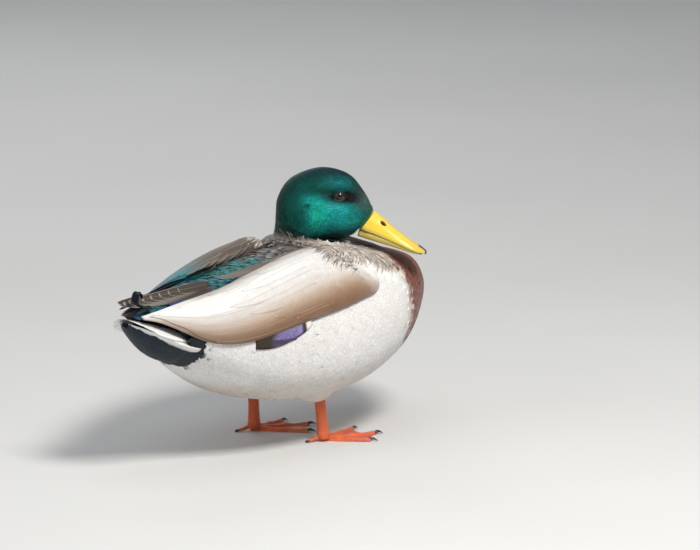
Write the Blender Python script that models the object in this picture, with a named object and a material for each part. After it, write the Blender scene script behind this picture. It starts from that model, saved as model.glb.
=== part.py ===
"""A drake mallard standing at rest with its head turned to the right: still model, life size.

Lengths are in millimetres until a mesh is made.  In the bird's own frame +X runs from the
tail to the breast, +Y is the bird's left and +Z is up, with the soles of the feet at Z = 0.
"""

import bmesh
import bpy
import numpy as np
from mathutils import Matrix, Vector

MM = 0.001
GAP = 0.35                      # clearance between neighbouring pieces
LAYER_GAP = 0.6                 # clearance of a wing over the rounded body under it

# The trunk is a loft through upright sections.  Each section runs from a point on the back
# to a point on the belly: name, back x, back z, belly x, belly z, half width, lowness of the
# widest place, squareness.  From the mantle on, the sections fan round the nape crease.
TRUNK = [
    ("wing_tip", 2, 134, 2, 120, 10, 0.0, 0.95),
    ("covert_end", 30, 136, 28, 106, 21, 0.0, 0.95),
    ("tail_base", 60, 140, 60, 86, 33, 0.0, 0.95),
    ("vent", 92, 143.5, 90, 67, 47, 0.05, 0.9),
    ("rump", 126, 147, 124, 50, 58, 0.1, 0.88),
    ("loin", 160, 151, 162, 40, 66, 0.12, 0.88),
    ("back", 192, 155, 202, 35, 71.5, 0.14, 0.94),
    ("mantle", 208, 157, 240, 36, 74, 0.13, 0.96),
    ("shoulder", 210, 158, 279, 44, 74, 0.1, 1.0),
    ("low_breast", 210.5, 158.7, 315, 60, 72, 0.06, 1.02),
    ("breast", 211, 159.4, 340, 84, 69, 0.0, 1.03),
    ("full_breast", 211.5, 160, 349, 108, 64, 0.0, 1.03),
    ("high_breast", 212, 160.6, 339, 131, 54, 0.0, 1.02),
    ("collar", 212.5, 161.5, 302, 145, 38, 0.0, 1.0),
]
TAIL_BASE, RUMP_CUT, COLLAR = 2.0, 4.0, 13.0
RUMP_CUT_WIDTH = 0.011          # as a share of the 34 mm between two sections
AROUND = 30                     # points round a body section
NECK_ROWS, NECK_BULGE = 5, 0.75 # rings from collar to nape; below 1 they crowd to the collar
NAPE_LAG = 4                    # points round by which the turned head's ring follows the collar's

# The head in its own frame: forward, up from the midpoint of the eyes.  Each section: name,
# top forward, top up, under forward, under up, half width, lowness, squareness.
HEAD = [
    ("nape", -43, -31, 1, -35.5, 22.0, 0.0, 1.0),
    ("hind_head", -46, -15, 7, -34.5, 21.5, 0.0, 1.0),
    ("back_of_head", -40.5, 3, 12.5, -32.5, 20.5, 0.1, 0.96),
    ("poll", -21, 18, 17, -30, 19.8, 0.13, 0.93),
    ("brow", 1.5, 20, 19.5, -27, 17.6, 0.13, 0.92),
    ("forehead", 18, 10.5, 21.5, -25, 14.0, 0.1, 0.9),
    ("bill_root", 30.5, -1.5, 22.5, -22.5, 9.5, 0.1, 0.9),
]
HEAD_MIDDLE = (247.0, -21.2, 194.0)
HEAD_TURN = np.radians(-52)     # to the bird's right
BILL_DROP = np.radians(18)
EYE = (0.0, 13.6, 3.2)          # forward, out, up
EYE_RADIUS = 5.3
EYE_RINGS, EYE_AROUND = 7, 14

# Upper bill: forward at the ridge, ridge height, forward at the edge, edge height, half width.
UPPER_BILL = [
    (31.0, -2.0, 23.3, -20.2, 9.4),
    (38.0, -5.2, 33.5, -20.2, 9.0),
    (47.0, -9.2, 45.0, -20.6, 9.1),
    (56.5, -13.0, 56.0, -21.2, 10.0),
    (65.0, -15.9, 65.0, -21.8, 11.1),
    (72.0, -18.0, 72.0, -22.2, 11.0),
    (77.5, -19.6, 77.5, -22.5, 8.6),
    (80.8, -21.0, 80.8, -22.6, 4.0),
]
LOWER_BILL = [
    (24.0, -21.0, 24.0, -25.8, 7.6),
    (38.0, -21.2, 38.0, -25.6, 7.6),
    (54.0, -21.9, 54.0, -25.2, 8.4),
    (66.0, -22.7, 66.0, -25.0, 9.4),
    (73.0, -23.1, 73.0, -24.6, 8.4),
    (77.5, -23.4, 77.5, -24.2, 4.6),
]
BILL_ROOT_PLUG = 0.9            # how far the bill's root stands off the feathered head
UPPER_BILL_LOW, LOWER_BILL_LOW = 0.35, -0.2     # the upper half is widest low, the lower high
BILL_SQUARENESS = 0.75
NAIL_START, NAIL_SPREAD = 5.6, np.radians(38)   # section number, angle from the ridge
NAIL_LIFT, NAIL_RISE = (0.35, 0.0, 1.0), (0.4, 1.2)     # direction, clearance and height

# A folded wing lies over the flank as a raised band: section number, angle from the back at
# its upper and lower edge in degrees, thickness.
WING = [
    (9.7, 50, 61, 2.0),
    (9.3, 43, 66, 3.6),
    (8.8, 36, 68.5, 5.6),
    (8.1, 28, 69, 8.0),
    (7.2, 20, 68.5, 10.5),
    (6.0, 16, 71, 11.0),
    (5.0, 15.5, 75, 10.5),
    (4.0, 18, 82, 9.0),
    (3.2, 21, 90, 7.0),
    (2.4, 23, 97, 5.0),
    (1.9, 24, 96, 3.8),
    (1.3, 26, 84, 2.8),
    (0.8, 30, 66, 2.2),
    (0.4, 36, 52, 1.8),
]
WING_EDGE = 0.9                 # thickness of the wing's own rim
WING_CROWN = 3.4                # how flat the wing's band is across, before it turns down
LEFT_WING_OPEN = 7.0            # the left wing is held this many degrees further off the back
LEFT_WING_LIFT = 1.28           # and stands this much prouder
OPENING = (1.0, 4.0, 6.5, 8.0)  # section numbers where that starts, is full, and ends
SPECULUM = (3.35, 4.95)         # section numbers between which the speculum shows
SPECULUM_START, SPECULUM_DEPTH = 1.8, 11.0      # degrees below the wing's lower edge
SPECULUM_THICKNESS = 3.6

# Closed primaries, one blade a side: centre x, y, z and half width along the blade.
PRIMARIES = {
    "right": [(94, -11.5, 145.8, 3.6), (72, -9.0, 144.4, 5.0), (46, -1.0, 143.4, 5.2),
              (24, 7.0, 142.6, 4.2), (9, 12.0, 142.0, 1.4)],
    "left": [(94, 14.0, 146.4, 3.4), (70, 12.8, 144.4, 4.2), (46, 12.2, 141.8, 4.4),
             (27, 13.2, 138.6, 3.4), (16, 15.0, 136.2, 1.4)],
}
BLADE_SLOPE = {"right": (0.05, -0.76, -0.65), "left": (0.05, 0.8, -0.6)}
BLADE_THICKNESS = (2.4, 1.2)

# Tail: heights are along the middle, dropping to the sides like a shallow roof.
TAIL_ROOT, TAIL_TIP = 59.6, 1.0
TAIL_TOP = [(59.6, 119.0), (38, 123.0), (16, 128.0), (1, 132.0)]
TAIL_HALF_WIDTH = [(59.6, 25.0), (42, 26.5), (24, 25.0), (14, 20.5), (1, 12.0)]
TAIL_DROP, TAIL_THICKNESS = 13.0, (6.0, 1.4)
TAIL_FEATHERS, TAIL_SCALLOP = 9, 2.2
TAIL_SWEEP = (17.0, 2.4)        # how far the outer feathers end short, and how suddenly
COVERT_GAP = 0.2                # more clearance for coverts over and under the tail
UPPERTAIL = [(59.6, 139.3, 27.0), (44, 138.0, 19.0), (30, 135.8, 13.0), (20, 133.0, 7.0),
             (13, 131.4, 2.6)]                       # x, height, half width
UNDERTAIL = [(59.6, 86.5, 31.0), (44, 92.0, 27.5), (30, 100.0, 22.0), (18, 110.5, 16.5),
             (8, 120.5, 9.0), (4, 125.0, 4.0)]
CURL_ROOTS = {"right": (28.0, -6.4, 137.6), "left": (31.0, -2.4, 138.0)}
CURL_RADIUS, CURL_SWEEP, CURL_WIDTH = 9.5, 235.0, 3.8
CURL_RUN = 14.0                 # how far it runs back before it rises
CURL_THICKNESS, CURL_STEPS = 0.9, 12

# Legs and feet: right, then left.
HIP = {"right": (207.0, -31.5), "left": (203.0, 32.0)}
ANKLE = {"right": (213.0, -33.0), "left": (207.0, 34.0)}
SHANK_TOP, SHANK_FOOT = 52.0, 4.0
SHANK_RADII = [(0.0, 5.8), (0.25, 5.1), (0.6, 4.8), (0.85, 5.2), (1.0, 5.6)]
SHANK_FLATNESS = 0.84
THIGH_RADII = (16.0, 13.0, 17.0)
THIGH_HEIGHT = 51.0
THIGH_TRIM = 0.5                # clearance between a thigh and the belly
FOOT_HEADING = {"right": -24.0, "left": -30.0}
TOE_SPREAD, WEB_SPREAD = 27.0, 31.0     # degrees from the middle toe, and to the web's edge
TOE_ANGLES = {"outer": -TOE_SPREAD, "middle": 0.0, "inner": TOE_SPREAD}
TOE_LENGTHS = {"outer": 49.0, "middle": 53.0, "inner": 42.0}
TOE_RADIUS, WEB_THICKNESS, WEB_NOTCH = 3.1, 1.1, 0.13
HEEL = 5.0                      # the toes' fan starts this far behind the ankle
FOOT_ROOT = 2.0                 # and the foot's solid this far along them
CLAW_LENGTH, CLAW_RADIUS, CLAW_HEIGHT = 6.5, 1.5, 0.35
HIND_TOE_LENGTH, HIND_TOE_RADIUS, HIND_TOE_DROP = 12.0, 1.9, 2.4

COLOURS = {                     # base colour, roughness, metallic
    "green_head": ((0.01, 0.12, 0.08), 0.35, 0.0),
    "chestnut": ((0.13, 0.045, 0.03), 0.7, 0.0),
    "pale_grey": ((0.62, 0.60, 0.57), 0.75, 0.0),
    "wing_grey": ((0.48, 0.43, 0.38), 0.7, 0.0),
    "quill_brown": ((0.12, 0.09, 0.07), 0.6, 0.0),
    "speculum_blue": ((0.12, 0.10, 0.38), 0.4, 0.0),
    "glossy_black": ((0.015, 0.03, 0.04), 0.4, 0.0),
    "tail_white": ((0.8, 0.79, 0.76), 0.7, 0.0),
    "bill_yellow": ((0.62, 0.46, 0.04), 0.4, 0.0),
    "horn_black": ((0.02, 0.02, 0.02), 0.35, 0.0),
    "eye_brown": ((0.03, 0.012, 0.006), 0.08, 0.0),
    "leg_orange": ((0.72, 0.17, 0.04), 0.5, 0.0),
}


# ---- curves and surfaces ----

def smooth(keys, place):
    """A curve through evenly numbered keys, with the tangent at each from its neighbours."""
    keys = np.asarray(keys, float)
    place = np.clip(np.asarray(place, float), 0, len(keys) - 1)
    start = np.minimum(place.astype(int), len(keys) - 2)
    part = (place - start)[..., None]
    longer = np.concatenate([[2 * keys[0] - keys[1]], keys, [2 * keys[-1] - keys[-2]]])
    before, here, after, beyond = (longer[start + step] for step in range(4))
    return 0.5 * (2 * here + (after - before) * part
                  + (2 * before - 5 * here + 4 * after - beyond) * part ** 2
                  + (3 * here - before - 3 * after + beyond) * part ** 3)


def between(keys, place):
    """The columns after the first, read at a value of the first by straight lines."""
    keys = np.asarray(sorted(keys), float)
    columns = [np.interp(place, keys[:, 0], column) for column in keys.T[1:]]
    return columns[0] if len(columns) == 1 else columns


def section_points(top, under, side, width, low, square, turn):
    """A flattened oval from top to under, wider below by `low`, squarer as `square` falls."""
    rise = top - under
    height = np.linalg.norm(rise, axis=-1, keepdims=True)
    rise = rise / height
    sine, cosine = np.sin(turn), np.cos(turn)
    out = np.sign(sine) * np.abs(sine) ** square * (1 - low * cosine) * width
    along = np.sign(cosine) * np.abs(cosine) ** square
    return (top + under) / 2 + out[..., None] * side + along[..., None] * rise * height / 2


def body(number, turn):
    """The point of the trunk at a section number and an angle from the back, left positive."""
    number, turn = np.broadcast_arrays(np.asarray(number, float), np.asarray(turn, float))
    rows = smooth([row[1:] for row in TRUNK], number)
    zero = np.zeros(number.shape)
    top = np.stack([rows[..., 0], zero, rows[..., 1]], -1)
    under = np.stack([rows[..., 2], zero, rows[..., 3]], -1)
    return section_points(top, under, np.array([0.0, 1.0, 0.0]), rows[..., 4], rows[..., 5],
                          rows[..., 6], turn)


def body_normal(number, turn, step=0.02):
    """The outward unit normal of the trunk, from the slopes along and round it."""
    along = body(number + step, turn) - body(number - step, turn)
    across = body(number, turn + step) - body(number, turn - step)
    normal = np.cross(along, across)
    return normal / np.linalg.norm(normal, axis=-1, keepdims=True)


def head_surface(number, turn):
    """The point of the head, in the head's own frame, at a section number and an angle."""
    rows = smooth([row[1:] for row in HEAD], number)
    zero = np.zeros(np.shape(number))
    top = np.stack([rows[..., 0], zero, rows[..., 1]], -1)
    under = np.stack([rows[..., 2], zero, rows[..., 3]], -1)
    return section_points(top, under, np.array([0.0, 1.0, 0.0]), rows[..., 4], rows[..., 5],
                          rows[..., 6], turn)


def bill_surface(rows, number, turn, low):
    """The point of one half of the bill: sections from its ridge to its edge."""
    rows = smooth(rows, number)
    zero = np.zeros(np.shape(number))
    top = np.stack([rows[..., 0], zero, rows[..., 1]], -1)
    under = np.stack([rows[..., 2], zero, rows[..., 3]], -1)
    return section_points(top, under, np.array([0.0, 1.0, 0.0]), rows[..., 4], low,
                          BILL_SQUARENESS, turn)


def turns(count):
    return np.linspace(0, 2 * np.pi, count, endpoint=False)


def head_matrix():
    turned = Matrix.Rotation(HEAD_TURN, 4, "Z") @ Matrix.Rotation(BILL_DROP, 4, "Y")
    return Matrix.Translation(HEAD_MIDDLE) @ turned


# ---- meshes and objects ----

def finish(name):
    """The material of one colour, made once."""
    if name in bpy.data.materials:
        return bpy.data.materials[name]
    colour, roughness, metallic = COLOURS[name]
    material = bpy.data.materials.new(name)
    material.use_nodes = True
    shader = material.node_tree.nodes["Principled BSDF"]
    shader.inputs["Base Color"].default_value = (*colour, 1.0)
    shader.inputs["Roughness"].default_value = roughness
    shader.inputs["Metallic"].default_value = metallic
    material.diffuse_color = (*colour, 1.0)
    return material


def add_piece(name, points, faces, colour, parent):
    """A named object of one closed mesh, its origin at the middle of its points."""
    points = np.asarray(points, float) * MM
    middle = (points.min(axis=0) + points.max(axis=0)) / 2
    mesh = bpy.data.meshes.new(name)
    mesh.from_pydata((points - middle).tolist(), [], faces)
    work = bmesh.new()
    work.from_mesh(mesh)
    bmesh.ops.recalc_face_normals(work, faces=work.faces)
    work.to_mesh(mesh)
    work.free()
    mesh.materials.append(finish(colour))
    mesh.shade_smooth()
    mesh.set_sharp_from_angle(angle=np.radians(45))
    piece = bpy.data.objects.new(name, mesh)
    piece.location = Vector(middle)
    piece.parent = parent
    bpy.context.scene.collection.objects.link(piece)
    return piece


def add_loft(name, rings, colour, parent):
    """A closed solid through rings of points, each end filled by a fan to its middle."""
    rows, around = rings.shape[:2]
    step = np.arange(around)
    following = (step + 1) % around
    faces = []
    for row in range(rows - 1):
        low, high = row * around, (row + 1) * around
        quads = [low + step, low + following, high + following, high + step]
        faces += np.stack(quads, 1).tolist()
    first_middle, last_middle = rows * around, rows * around + 1
    last = (rows - 1) * around
    faces += [[int(b), int(a), first_middle] for a, b in zip(step, following)]
    faces += [[int(last + a), int(last + b), last_middle] for a, b in zip(step, following)]
    middles = [rings[0].mean(axis=0), rings[-1].mean(axis=0)]
    points = np.concatenate([rings.reshape(-1, 3), middles])
    return add_piece(name, points, faces, colour, parent)


def add_shell(name, outer, inner, colour, parent):
    """A closed solid between two sheets of points, joined round their rims."""
    rows, across = outer.shape[:2]
    index = np.arange(rows * across).reshape(rows, across)
    under = index + rows * across
    faces = []
    for sheet in (index, under[::-1]):
        corners = [sheet[:-1, :-1], sheet[:-1, 1:], sheet[1:, 1:], sheet[1:, :-1]]
        faces += np.stack([corner.ravel() for corner in corners], 1).tolist()
    rim = [index[0, :], index[:, -1], index[-1, ::-1], index[::-1, 0]]
    edge = np.concatenate([side[:-1] for side in rim])
    following = np.roll(edge, -1)
    step = rows * across
    faces += np.stack([following, edge, edge + step, following + step], 1).tolist()
    points = np.concatenate([outer.reshape(-1, 3), inner.reshape(-1, 3)])
    return add_piece(name, points, faces, colour, parent)


def cut(piece, cutters):
    """Takes the cutters' shapes out of a piece."""
    for cutter in cutters:
        cutter.hide_render = True
        cutter.display_type = "WIRE"
        boolean = piece.modifiers.new("clear_" + cutter.name, "BOOLEAN")
        boolean.object = cutter
        boolean.operation = "DIFFERENCE"
        boolean.solver = "EXACT"


# ---- body ----

def add_trunk(parent):
    turn = turns(AROUND)
    back = np.concatenate([np.linspace(RUMP_CUT + RUMP_CUT_WIDTH, 7, 7),
                           np.linspace(7, COLLAR, 14)[1:]])
    rings = body(back[:, None], turn[None])
    trunk = add_loft("trunk", rings, "pale_grey", parent)
    rings = body(np.linspace(TAIL_BASE, RUMP_CUT, 6)[:, None], turn[None])
    add_loft("rump", rings, "glossy_black", parent)
    return trunk


def add_neck(parent):
    """From the trunk's collar up and back into the base of the turned head."""
    turn = turns(AROUND)
    collar = body(np.full(AROUND, COLLAR), turn)
    matrix = np.array(head_matrix())
    nape = head_surface(np.zeros(AROUND), turn) @ matrix[:3, :3].T + matrix[:3, 3]
    nape = np.roll(nape, NAPE_LAG, axis=0)
    rise = nape.mean(axis=0) - collar.mean(axis=0)
    start = collar + GAP * plane_normal(collar, rise)
    stop = nape - GAP * plane_normal(nape, rise)
    bulge = np.linspace(0, 1, NECK_ROWS)[:, None, None] ** NECK_BULGE
    add_loft("neck", start * (1 - bulge) + stop * bulge, "chestnut", parent)


def plane_normal(ring, towards):
    """The unit normal of a flat ring of points, on the side of `towards`."""
    quarter = len(ring) // 4
    normal = np.cross(ring[quarter] - ring[0], ring[2 * quarter] - ring[0])
    return normal / np.linalg.norm(normal) * np.sign(normal @ towards)


def add_head(parent):
    turn = turns(AROUND)
    number = np.concatenate([np.linspace(0, 4, 11), np.linspace(4, 6, 7)[1:]])
    head = add_loft("head", head_surface(number[:, None], turn[None]), "green_head", parent)
    sockets = []
    for side, name in ((-1, "right"), (1, "left")):
        place = (EYE[0], side * EYE[1], EYE[2])
        add_ball(f"eye_{name}", place, EYE_RADIUS, "eye_brown", parent)
        sockets.append(add_ball(f"socket_{name}", place, EYE_RADIUS + GAP, "eye_brown", parent))
    cut(head, sockets)


def add_ball(name, place, radius, colour, parent):
    """A ball: level rings of points, its ends filled by the loft's fans."""
    rise = np.linspace(-np.pi / 2, np.pi / 2, EYE_RINGS + 2)[:, None]
    rise[0] *= 1 - 1 / EYE_AROUND
    rise[-1] *= 1 - 1 / EYE_AROUND
    turn = turns(EYE_AROUND)[None]
    ring = np.stack([np.cos(rise) * np.cos(turn), np.cos(rise) * np.sin(turn),
                     np.sin(rise) + 0 * turn], -1)
    return add_loft(name, np.array(place) + radius * ring, colour, parent)


def add_bill(parent):
    turn = turns(20)
    root = np.array([BILL_ROOT_PLUG, 0.0, 0.0])
    number = np.linspace(0, len(UPPER_BILL) - 1, 13)[:, None]
    add_loft("bill_upper", bill_surface(UPPER_BILL, number, turn[None], UPPER_BILL_LOW) + root,
             "bill_yellow", parent)
    number = np.linspace(0, len(LOWER_BILL) - 1, 9)[:, None]
    lower = bill_surface(LOWER_BILL, number, turns(16)[None], LOWER_BILL_LOW) + root
    add_loft("bill_lower", lower, "bill_yellow", parent)
    number = np.linspace(NAIL_START, len(UPPER_BILL) - 1, 6)[:, None]
    spread = np.linspace(-NAIL_SPREAD, NAIL_SPREAD, 7)[None]
    sheet = bill_surface(UPPER_BILL, number, spread, UPPER_BILL_LOW) + root
    lift = np.array(NAIL_LIFT)
    add_shell("bill_nail", sheet + NAIL_RISE[1] * lift, sheet + NAIL_RISE[0] * lift,
              "horn_black", parent)


# ---- wings ----

def wing_sheet(side, rows, columns, edges):
    """Section numbers and angles of a band of the body, from its front end to its rear."""
    keys = np.array(WING, float)
    place = np.linspace(*edges, rows)
    number = smooth(keys[:, :1], place)[:, 0]
    top, low, thick = smooth(keys[:, 1:], place).T
    if side > 0:
        opening = np.interp(number, OPENING, (0, 1, 1, 0))
        top = top + LEFT_WING_OPEN * opening
        thick = thick * (1 + (LEFT_WING_LIFT - 1) * opening)
    share = np.linspace(0, 1, columns)
    angle = np.radians(top[:, None] + (low - top)[:, None] * share) * side
    return np.repeat(number[:, None], columns, 1), angle, thick, share


def add_wing(side, name, parent):
    number, angle, thick, share = wing_sheet(side, 21, 9, (0, len(WING) - 1))
    normal = body_normal(number, angle)
    skin = body(number, angle)
    crown = np.sqrt(np.clip(1 - np.abs(2 * share - 1) ** WING_CROWN, 0, 1))
    lift = LAYER_GAP + WING_EDGE + np.maximum(thick[:, None] - WING_EDGE, 0.4) * crown
    add_shell(f"wing_{name}", skin + normal * lift[..., None], skin + normal * LAYER_GAP,
              "wing_grey", parent)


def add_speculum(side, name, parent):
    """The blue secondaries, showing as a thin step below the wing's lower edge."""
    place = np.linspace(SPECULUM[0], SPECULUM[1], 8)
    keys = np.array(sorted(WING), float)
    low = np.interp(place, keys[:, 0], keys[:, 2])
    share = np.linspace(0, 1, 4)
    depth = SPECULUM_DEPTH * np.sqrt(np.sin(np.linspace(0.25, 0.9, 8) * np.pi))
    angle = np.radians(low[:, None] + SPECULUM_START + depth[:, None] * share) * side
    number = np.repeat(place[:, None], 4, 1)
    normal = body_normal(number, angle)
    skin = body(number, angle)
    lift = LAYER_GAP + SPECULUM_THICKNESS * (1 - 0.6 * share ** 2)
    add_shell(f"speculum_{name}", skin + normal * lift[None, :, None], skin + normal * LAYER_GAP,
              "speculum_blue", parent)


def add_primaries(name, parent):
    """Closed flight feathers: a blade whose width slopes down and outwards."""
    keys = np.array(PRIMARIES[name], float)
    place = np.linspace(0, len(keys) - 1, 10)
    rows = smooth(keys, place)
    slope = np.array(BLADE_SLOPE[name]) / np.linalg.norm(BLADE_SLOPE[name])
    along = np.gradient(rows[:, :3], axis=0)
    up = np.cross(along, slope)
    up *= np.sign(up[:, 2:]) / np.linalg.norm(up, axis=1, keepdims=True)
    thick = np.linspace(*BLADE_THICKNESS, len(rows))[:, None, None]
    share = np.linspace(-1, 1, 5)[None, :, None]
    middle = rows[:, None, :3] + share * rows[:, 3][:, None, None] * slope
    lens = 0.35 + 0.65 * (1 - share ** 2)
    half = up[:, None] * thick * lens / 2
    add_shell(f"primaries_{name}", middle + half, middle - half, "quill_brown", parent)


# ---- tail ----

def tail_top(x, y):
    """Height of the tail's upper side: a roof, highest along the middle."""
    drop = TAIL_DROP * (0.45 + 0.55 * (x - TAIL_TIP) / (TAIL_ROOT - TAIL_TIP))
    return between(TAIL_TOP, x) - drop * np.abs(y / 26.0) ** 1.6


def tail_thickness(x):
    share = (x - TAIL_TIP) / (TAIL_ROOT - TAIL_TIP)
    return TAIL_THICKNESS[1] + (TAIL_THICKNESS[0] - TAIL_THICKNESS[1]) * np.clip(share, 0, 1)


def add_tail(parent):
    """The fan of tail feathers, its hind edge scalloped by their rounded tips."""
    share = np.linspace(-1, 1, 2 * TAIL_FEATHERS + 1)
    length = np.linspace(0, 1, 7)[:, None]
    scallop = TAIL_SCALLOP * np.abs(np.sin(share * TAIL_FEATHERS * np.pi / 2))
    hind = TAIL_TIP + TAIL_SWEEP[0] * np.abs(share) ** TAIL_SWEEP[1] + TAIL_SCALLOP - scallop
    x = TAIL_ROOT + (hind[None] - TAIL_ROOT) * length
    spread = between(TAIL_HALF_WIDTH, TAIL_ROOT + (TAIL_TIP - TAIL_ROOT) * length * 0.75)
    y = share[None] * spread
    top = tail_top(x, y)
    thick = tail_thickness(x) * (1 - 0.55 * np.abs(share[None]) ** 3)
    add_shell("tail", np.stack([x, y, top], -1), np.stack([x, y, top - thick], -1),
              "tail_white", parent)


def add_uppertail(parent):
    """Black coverts over the root of the tail."""
    keys = np.array(UPPERTAIL, float)
    rows = smooth(keys, np.linspace(0, len(keys) - 1, 8))
    share = np.linspace(-1, 1, 9)[None]
    x = np.repeat(rows[:, :1], 9, 1)
    y = share * rows[:, 2:3]
    base = tail_top(x, y) + GAP + COVERT_GAP
    rise = (rows[:, 1:2] - tail_top(rows[:, :1], 0) - GAP) * (1 - np.abs(share) ** 2.4)
    add_shell("uppertail", np.stack([x, y, base + np.maximum(rise, 0.7)], -1),
              np.stack([x, y, base], -1), "glossy_black", parent)


def add_undertail(parent):
    """Black coverts under the tail, from the vent nearly to its tip."""
    keys = np.array(UNDERTAIL, float)
    rows = smooth(keys, np.linspace(0, len(keys) - 1, 9))
    share = np.linspace(-1, 1, 11)[None]
    x = np.repeat(rows[:, :1], 11, 1)
    y = share * np.minimum(rows[:, 2:3], 30.0)
    roof = tail_top(x, np.clip(y, -27, 27)) - tail_thickness(x) - GAP - COVERT_GAP
    depth = (roof - rows[:, 1:2]) * (1 - np.abs(share) ** 2.6)
    add_shell("undertail", np.stack([x, y, roof], -1),
              np.stack([x, y, roof - np.maximum(depth, 0.8)], -1), "glossy_black", parent)


def add_curl(name, parent):
    """One of the drake's curled feathers: a ribbon rising off the tail and hooking forward."""
    sweep = np.radians(np.linspace(0, CURL_SWEEP, CURL_STEPS))
    tighten = np.linspace(1.0, 0.62, CURL_STEPS)
    radius = CURL_RADIUS * tighten
    root_x, root_y, root_z = CURL_ROOTS[name]
    x = root_x - CURL_RUN * np.minimum(sweep / 1.4, 1) - radius * np.sin(sweep) * 0.55
    z = root_z + radius * (1 - np.cos(sweep)) * 0.86
    path = np.stack([x, np.full(CURL_STEPS, root_y), z], -1)
    swell = np.sin(np.linspace(0.2, 0.95, CURL_STEPS) * np.pi)
    width = CURL_WIDTH / 2 * (0.45 + 0.55 * swell)
    along = np.gradient(path, axis=0)
    along /= np.linalg.norm(along, axis=1, keepdims=True)
    face = np.cross(along, np.array([0.0, 1.0, 0.0]))
    across = np.array([0.0, 1.0, 0.0])[None, None]
    share = np.linspace(-1, 1, 3)[None, :, None]
    middle = path[:, None] + share * width[:, None, None] * across
    half = face[:, None] * CURL_THICKNESS / 2
    add_shell(f"tail_curl_{name}", middle + half, middle - half, "glossy_black", parent)


# ---- legs ----

def shank_path(name, share):
    top = np.array([*HIP[name], SHANK_TOP])
    foot = np.array([*ANKLE[name], SHANK_FOOT])
    return top + (foot - top) * share[:, None]


def shank_rings(name, grow=0.0):
    share = np.linspace(0, 1, 9)
    centre = shank_path(name, share)
    radius = between(SHANK_RADII, share) + grow
    turn = turns(12)
    ring = np.stack([np.cos(turn), SHANK_FLATNESS * np.sin(turn), np.zeros(12)], -1)
    return centre[:, None] + radius[:, None, None] * ring


def add_leg(name, trunk, parent):
    """Shank, and the feathered end of the thigh round its top."""
    add_loft(f"shank_{name}", shank_rings(name), "leg_orange", parent)
    room = lengthened(shank_rings(name, GAP))
    clearance = add_loft(f"shank_room_{name}", room, "leg_orange", parent)
    turn = turns(16)
    rise = np.radians(np.linspace(-80, 80, 9))
    centre = np.array([*HIP[name], THIGH_HEIGHT])
    ring = np.stack([np.cos(rise)[:, None] * np.cos(turn) * THIGH_RADII[0],
                     np.cos(rise)[:, None] * np.sin(turn) * THIGH_RADII[1],
                     np.sin(rise)[:, None] * np.ones(16) * THIGH_RADII[2]], -1)
    thigh = add_loft(f"thigh_{name}", centre + ring, "pale_grey", parent)
    cut(thigh, [clearance, belly_cutter(parent)])
    cut(trunk, [clearance])


def lengthened(rings):
    """The same rings, the first moved up a little, so that a cut is clear of the piece's end."""
    longer = rings.copy()
    longer[0, :, 2] += 1.0
    return longer


def belly_cutter(parent):
    """The trunk grown by the gap, which trims a thigh to the belly's skin."""
    name = "belly_room"
    if name in bpy.data.objects:
        return bpy.data.objects[name]
    turn = turns(AROUND)
    number = np.linspace(4.5, 9.0, 14)
    rings = body(number[:, None], turn[None])
    centre = rings.mean(axis=1, keepdims=True)
    span = np.linalg.norm(rings - centre, axis=2, keepdims=True)
    grown = rings + (rings - centre) / span * THIGH_TRIM
    return add_loft(name, grown, "pale_grey", parent)


def toe_reach(angle):
    """How far the web reaches at an angle: toe tips, with a shallow notch between toes."""
    names = ("outer", "middle", "inner")
    toes = [TOE_ANGLES[key] for key in names]
    reach = np.interp(angle, toes, [TOE_LENGTHS[key] for key in names])
    phase = np.abs(np.sin(np.pi * (angle + TOE_SPREAD) / TOE_SPREAD))
    return reach * (1 - WEB_NOTCH * phase ** 0.8)


def add_foot(side, name, parent):
    """Webbed foot: a flat sole, three toes standing as ridges on a thin web."""
    angle = np.linspace(-WEB_SPREAD, WEB_SPREAD, 17)
    share = np.linspace(0, 1, 7)[:, None]
    reach = toe_reach(np.clip(angle, -TOE_SPREAD, TOE_SPREAD))
    heading = np.radians(FOOT_HEADING[name])
    direction = heading + side * np.radians(angle)
    distance = FOOT_ROOT + share * (reach[None] - FOOT_ROOT)
    spread = np.minimum(share * 3.0, 1.0)
    bend = heading + (direction[None] - heading) * (0.35 + 0.65 * spread)
    heel = np.array(ANKLE[name])
    x = heel[0] - HEEL * np.cos(heading) + distance * np.cos(bend)
    y = heel[1] - HEEL * np.sin(heading) + distance * np.sin(bend)
    height = np.full(x.shape, WEB_THICKNESS)
    for toe in TOE_ANGLES.values():
        off = distance * np.abs(np.sin(np.radians(angle[None] - toe))) * (0.35 + 0.65 * spread)
        girth = TOE_RADIUS * (1 - 0.35 * share)
        ridge = 1.7 * np.sqrt(np.clip(girth ** 2 - off ** 2, 0, None))
        height = np.maximum(height, WEB_THICKNESS * 0.6 + ridge * 0.62)
    height = np.minimum(height, SHANK_FOOT - GAP)
    flat = np.zeros(x.shape)
    add_shell(f"foot_{name}", np.stack([x, y, height], -1), np.stack([x, y, flat], -1),
              "leg_orange", parent)
    for toe, toe_angle in TOE_ANGLES.items():
        add_claw(f"claw_{toe}_{name}", heel, heading, side * toe_angle, TOE_LENGTHS[toe], parent)
    add_hind_toe(name, heel, heading, parent)


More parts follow.
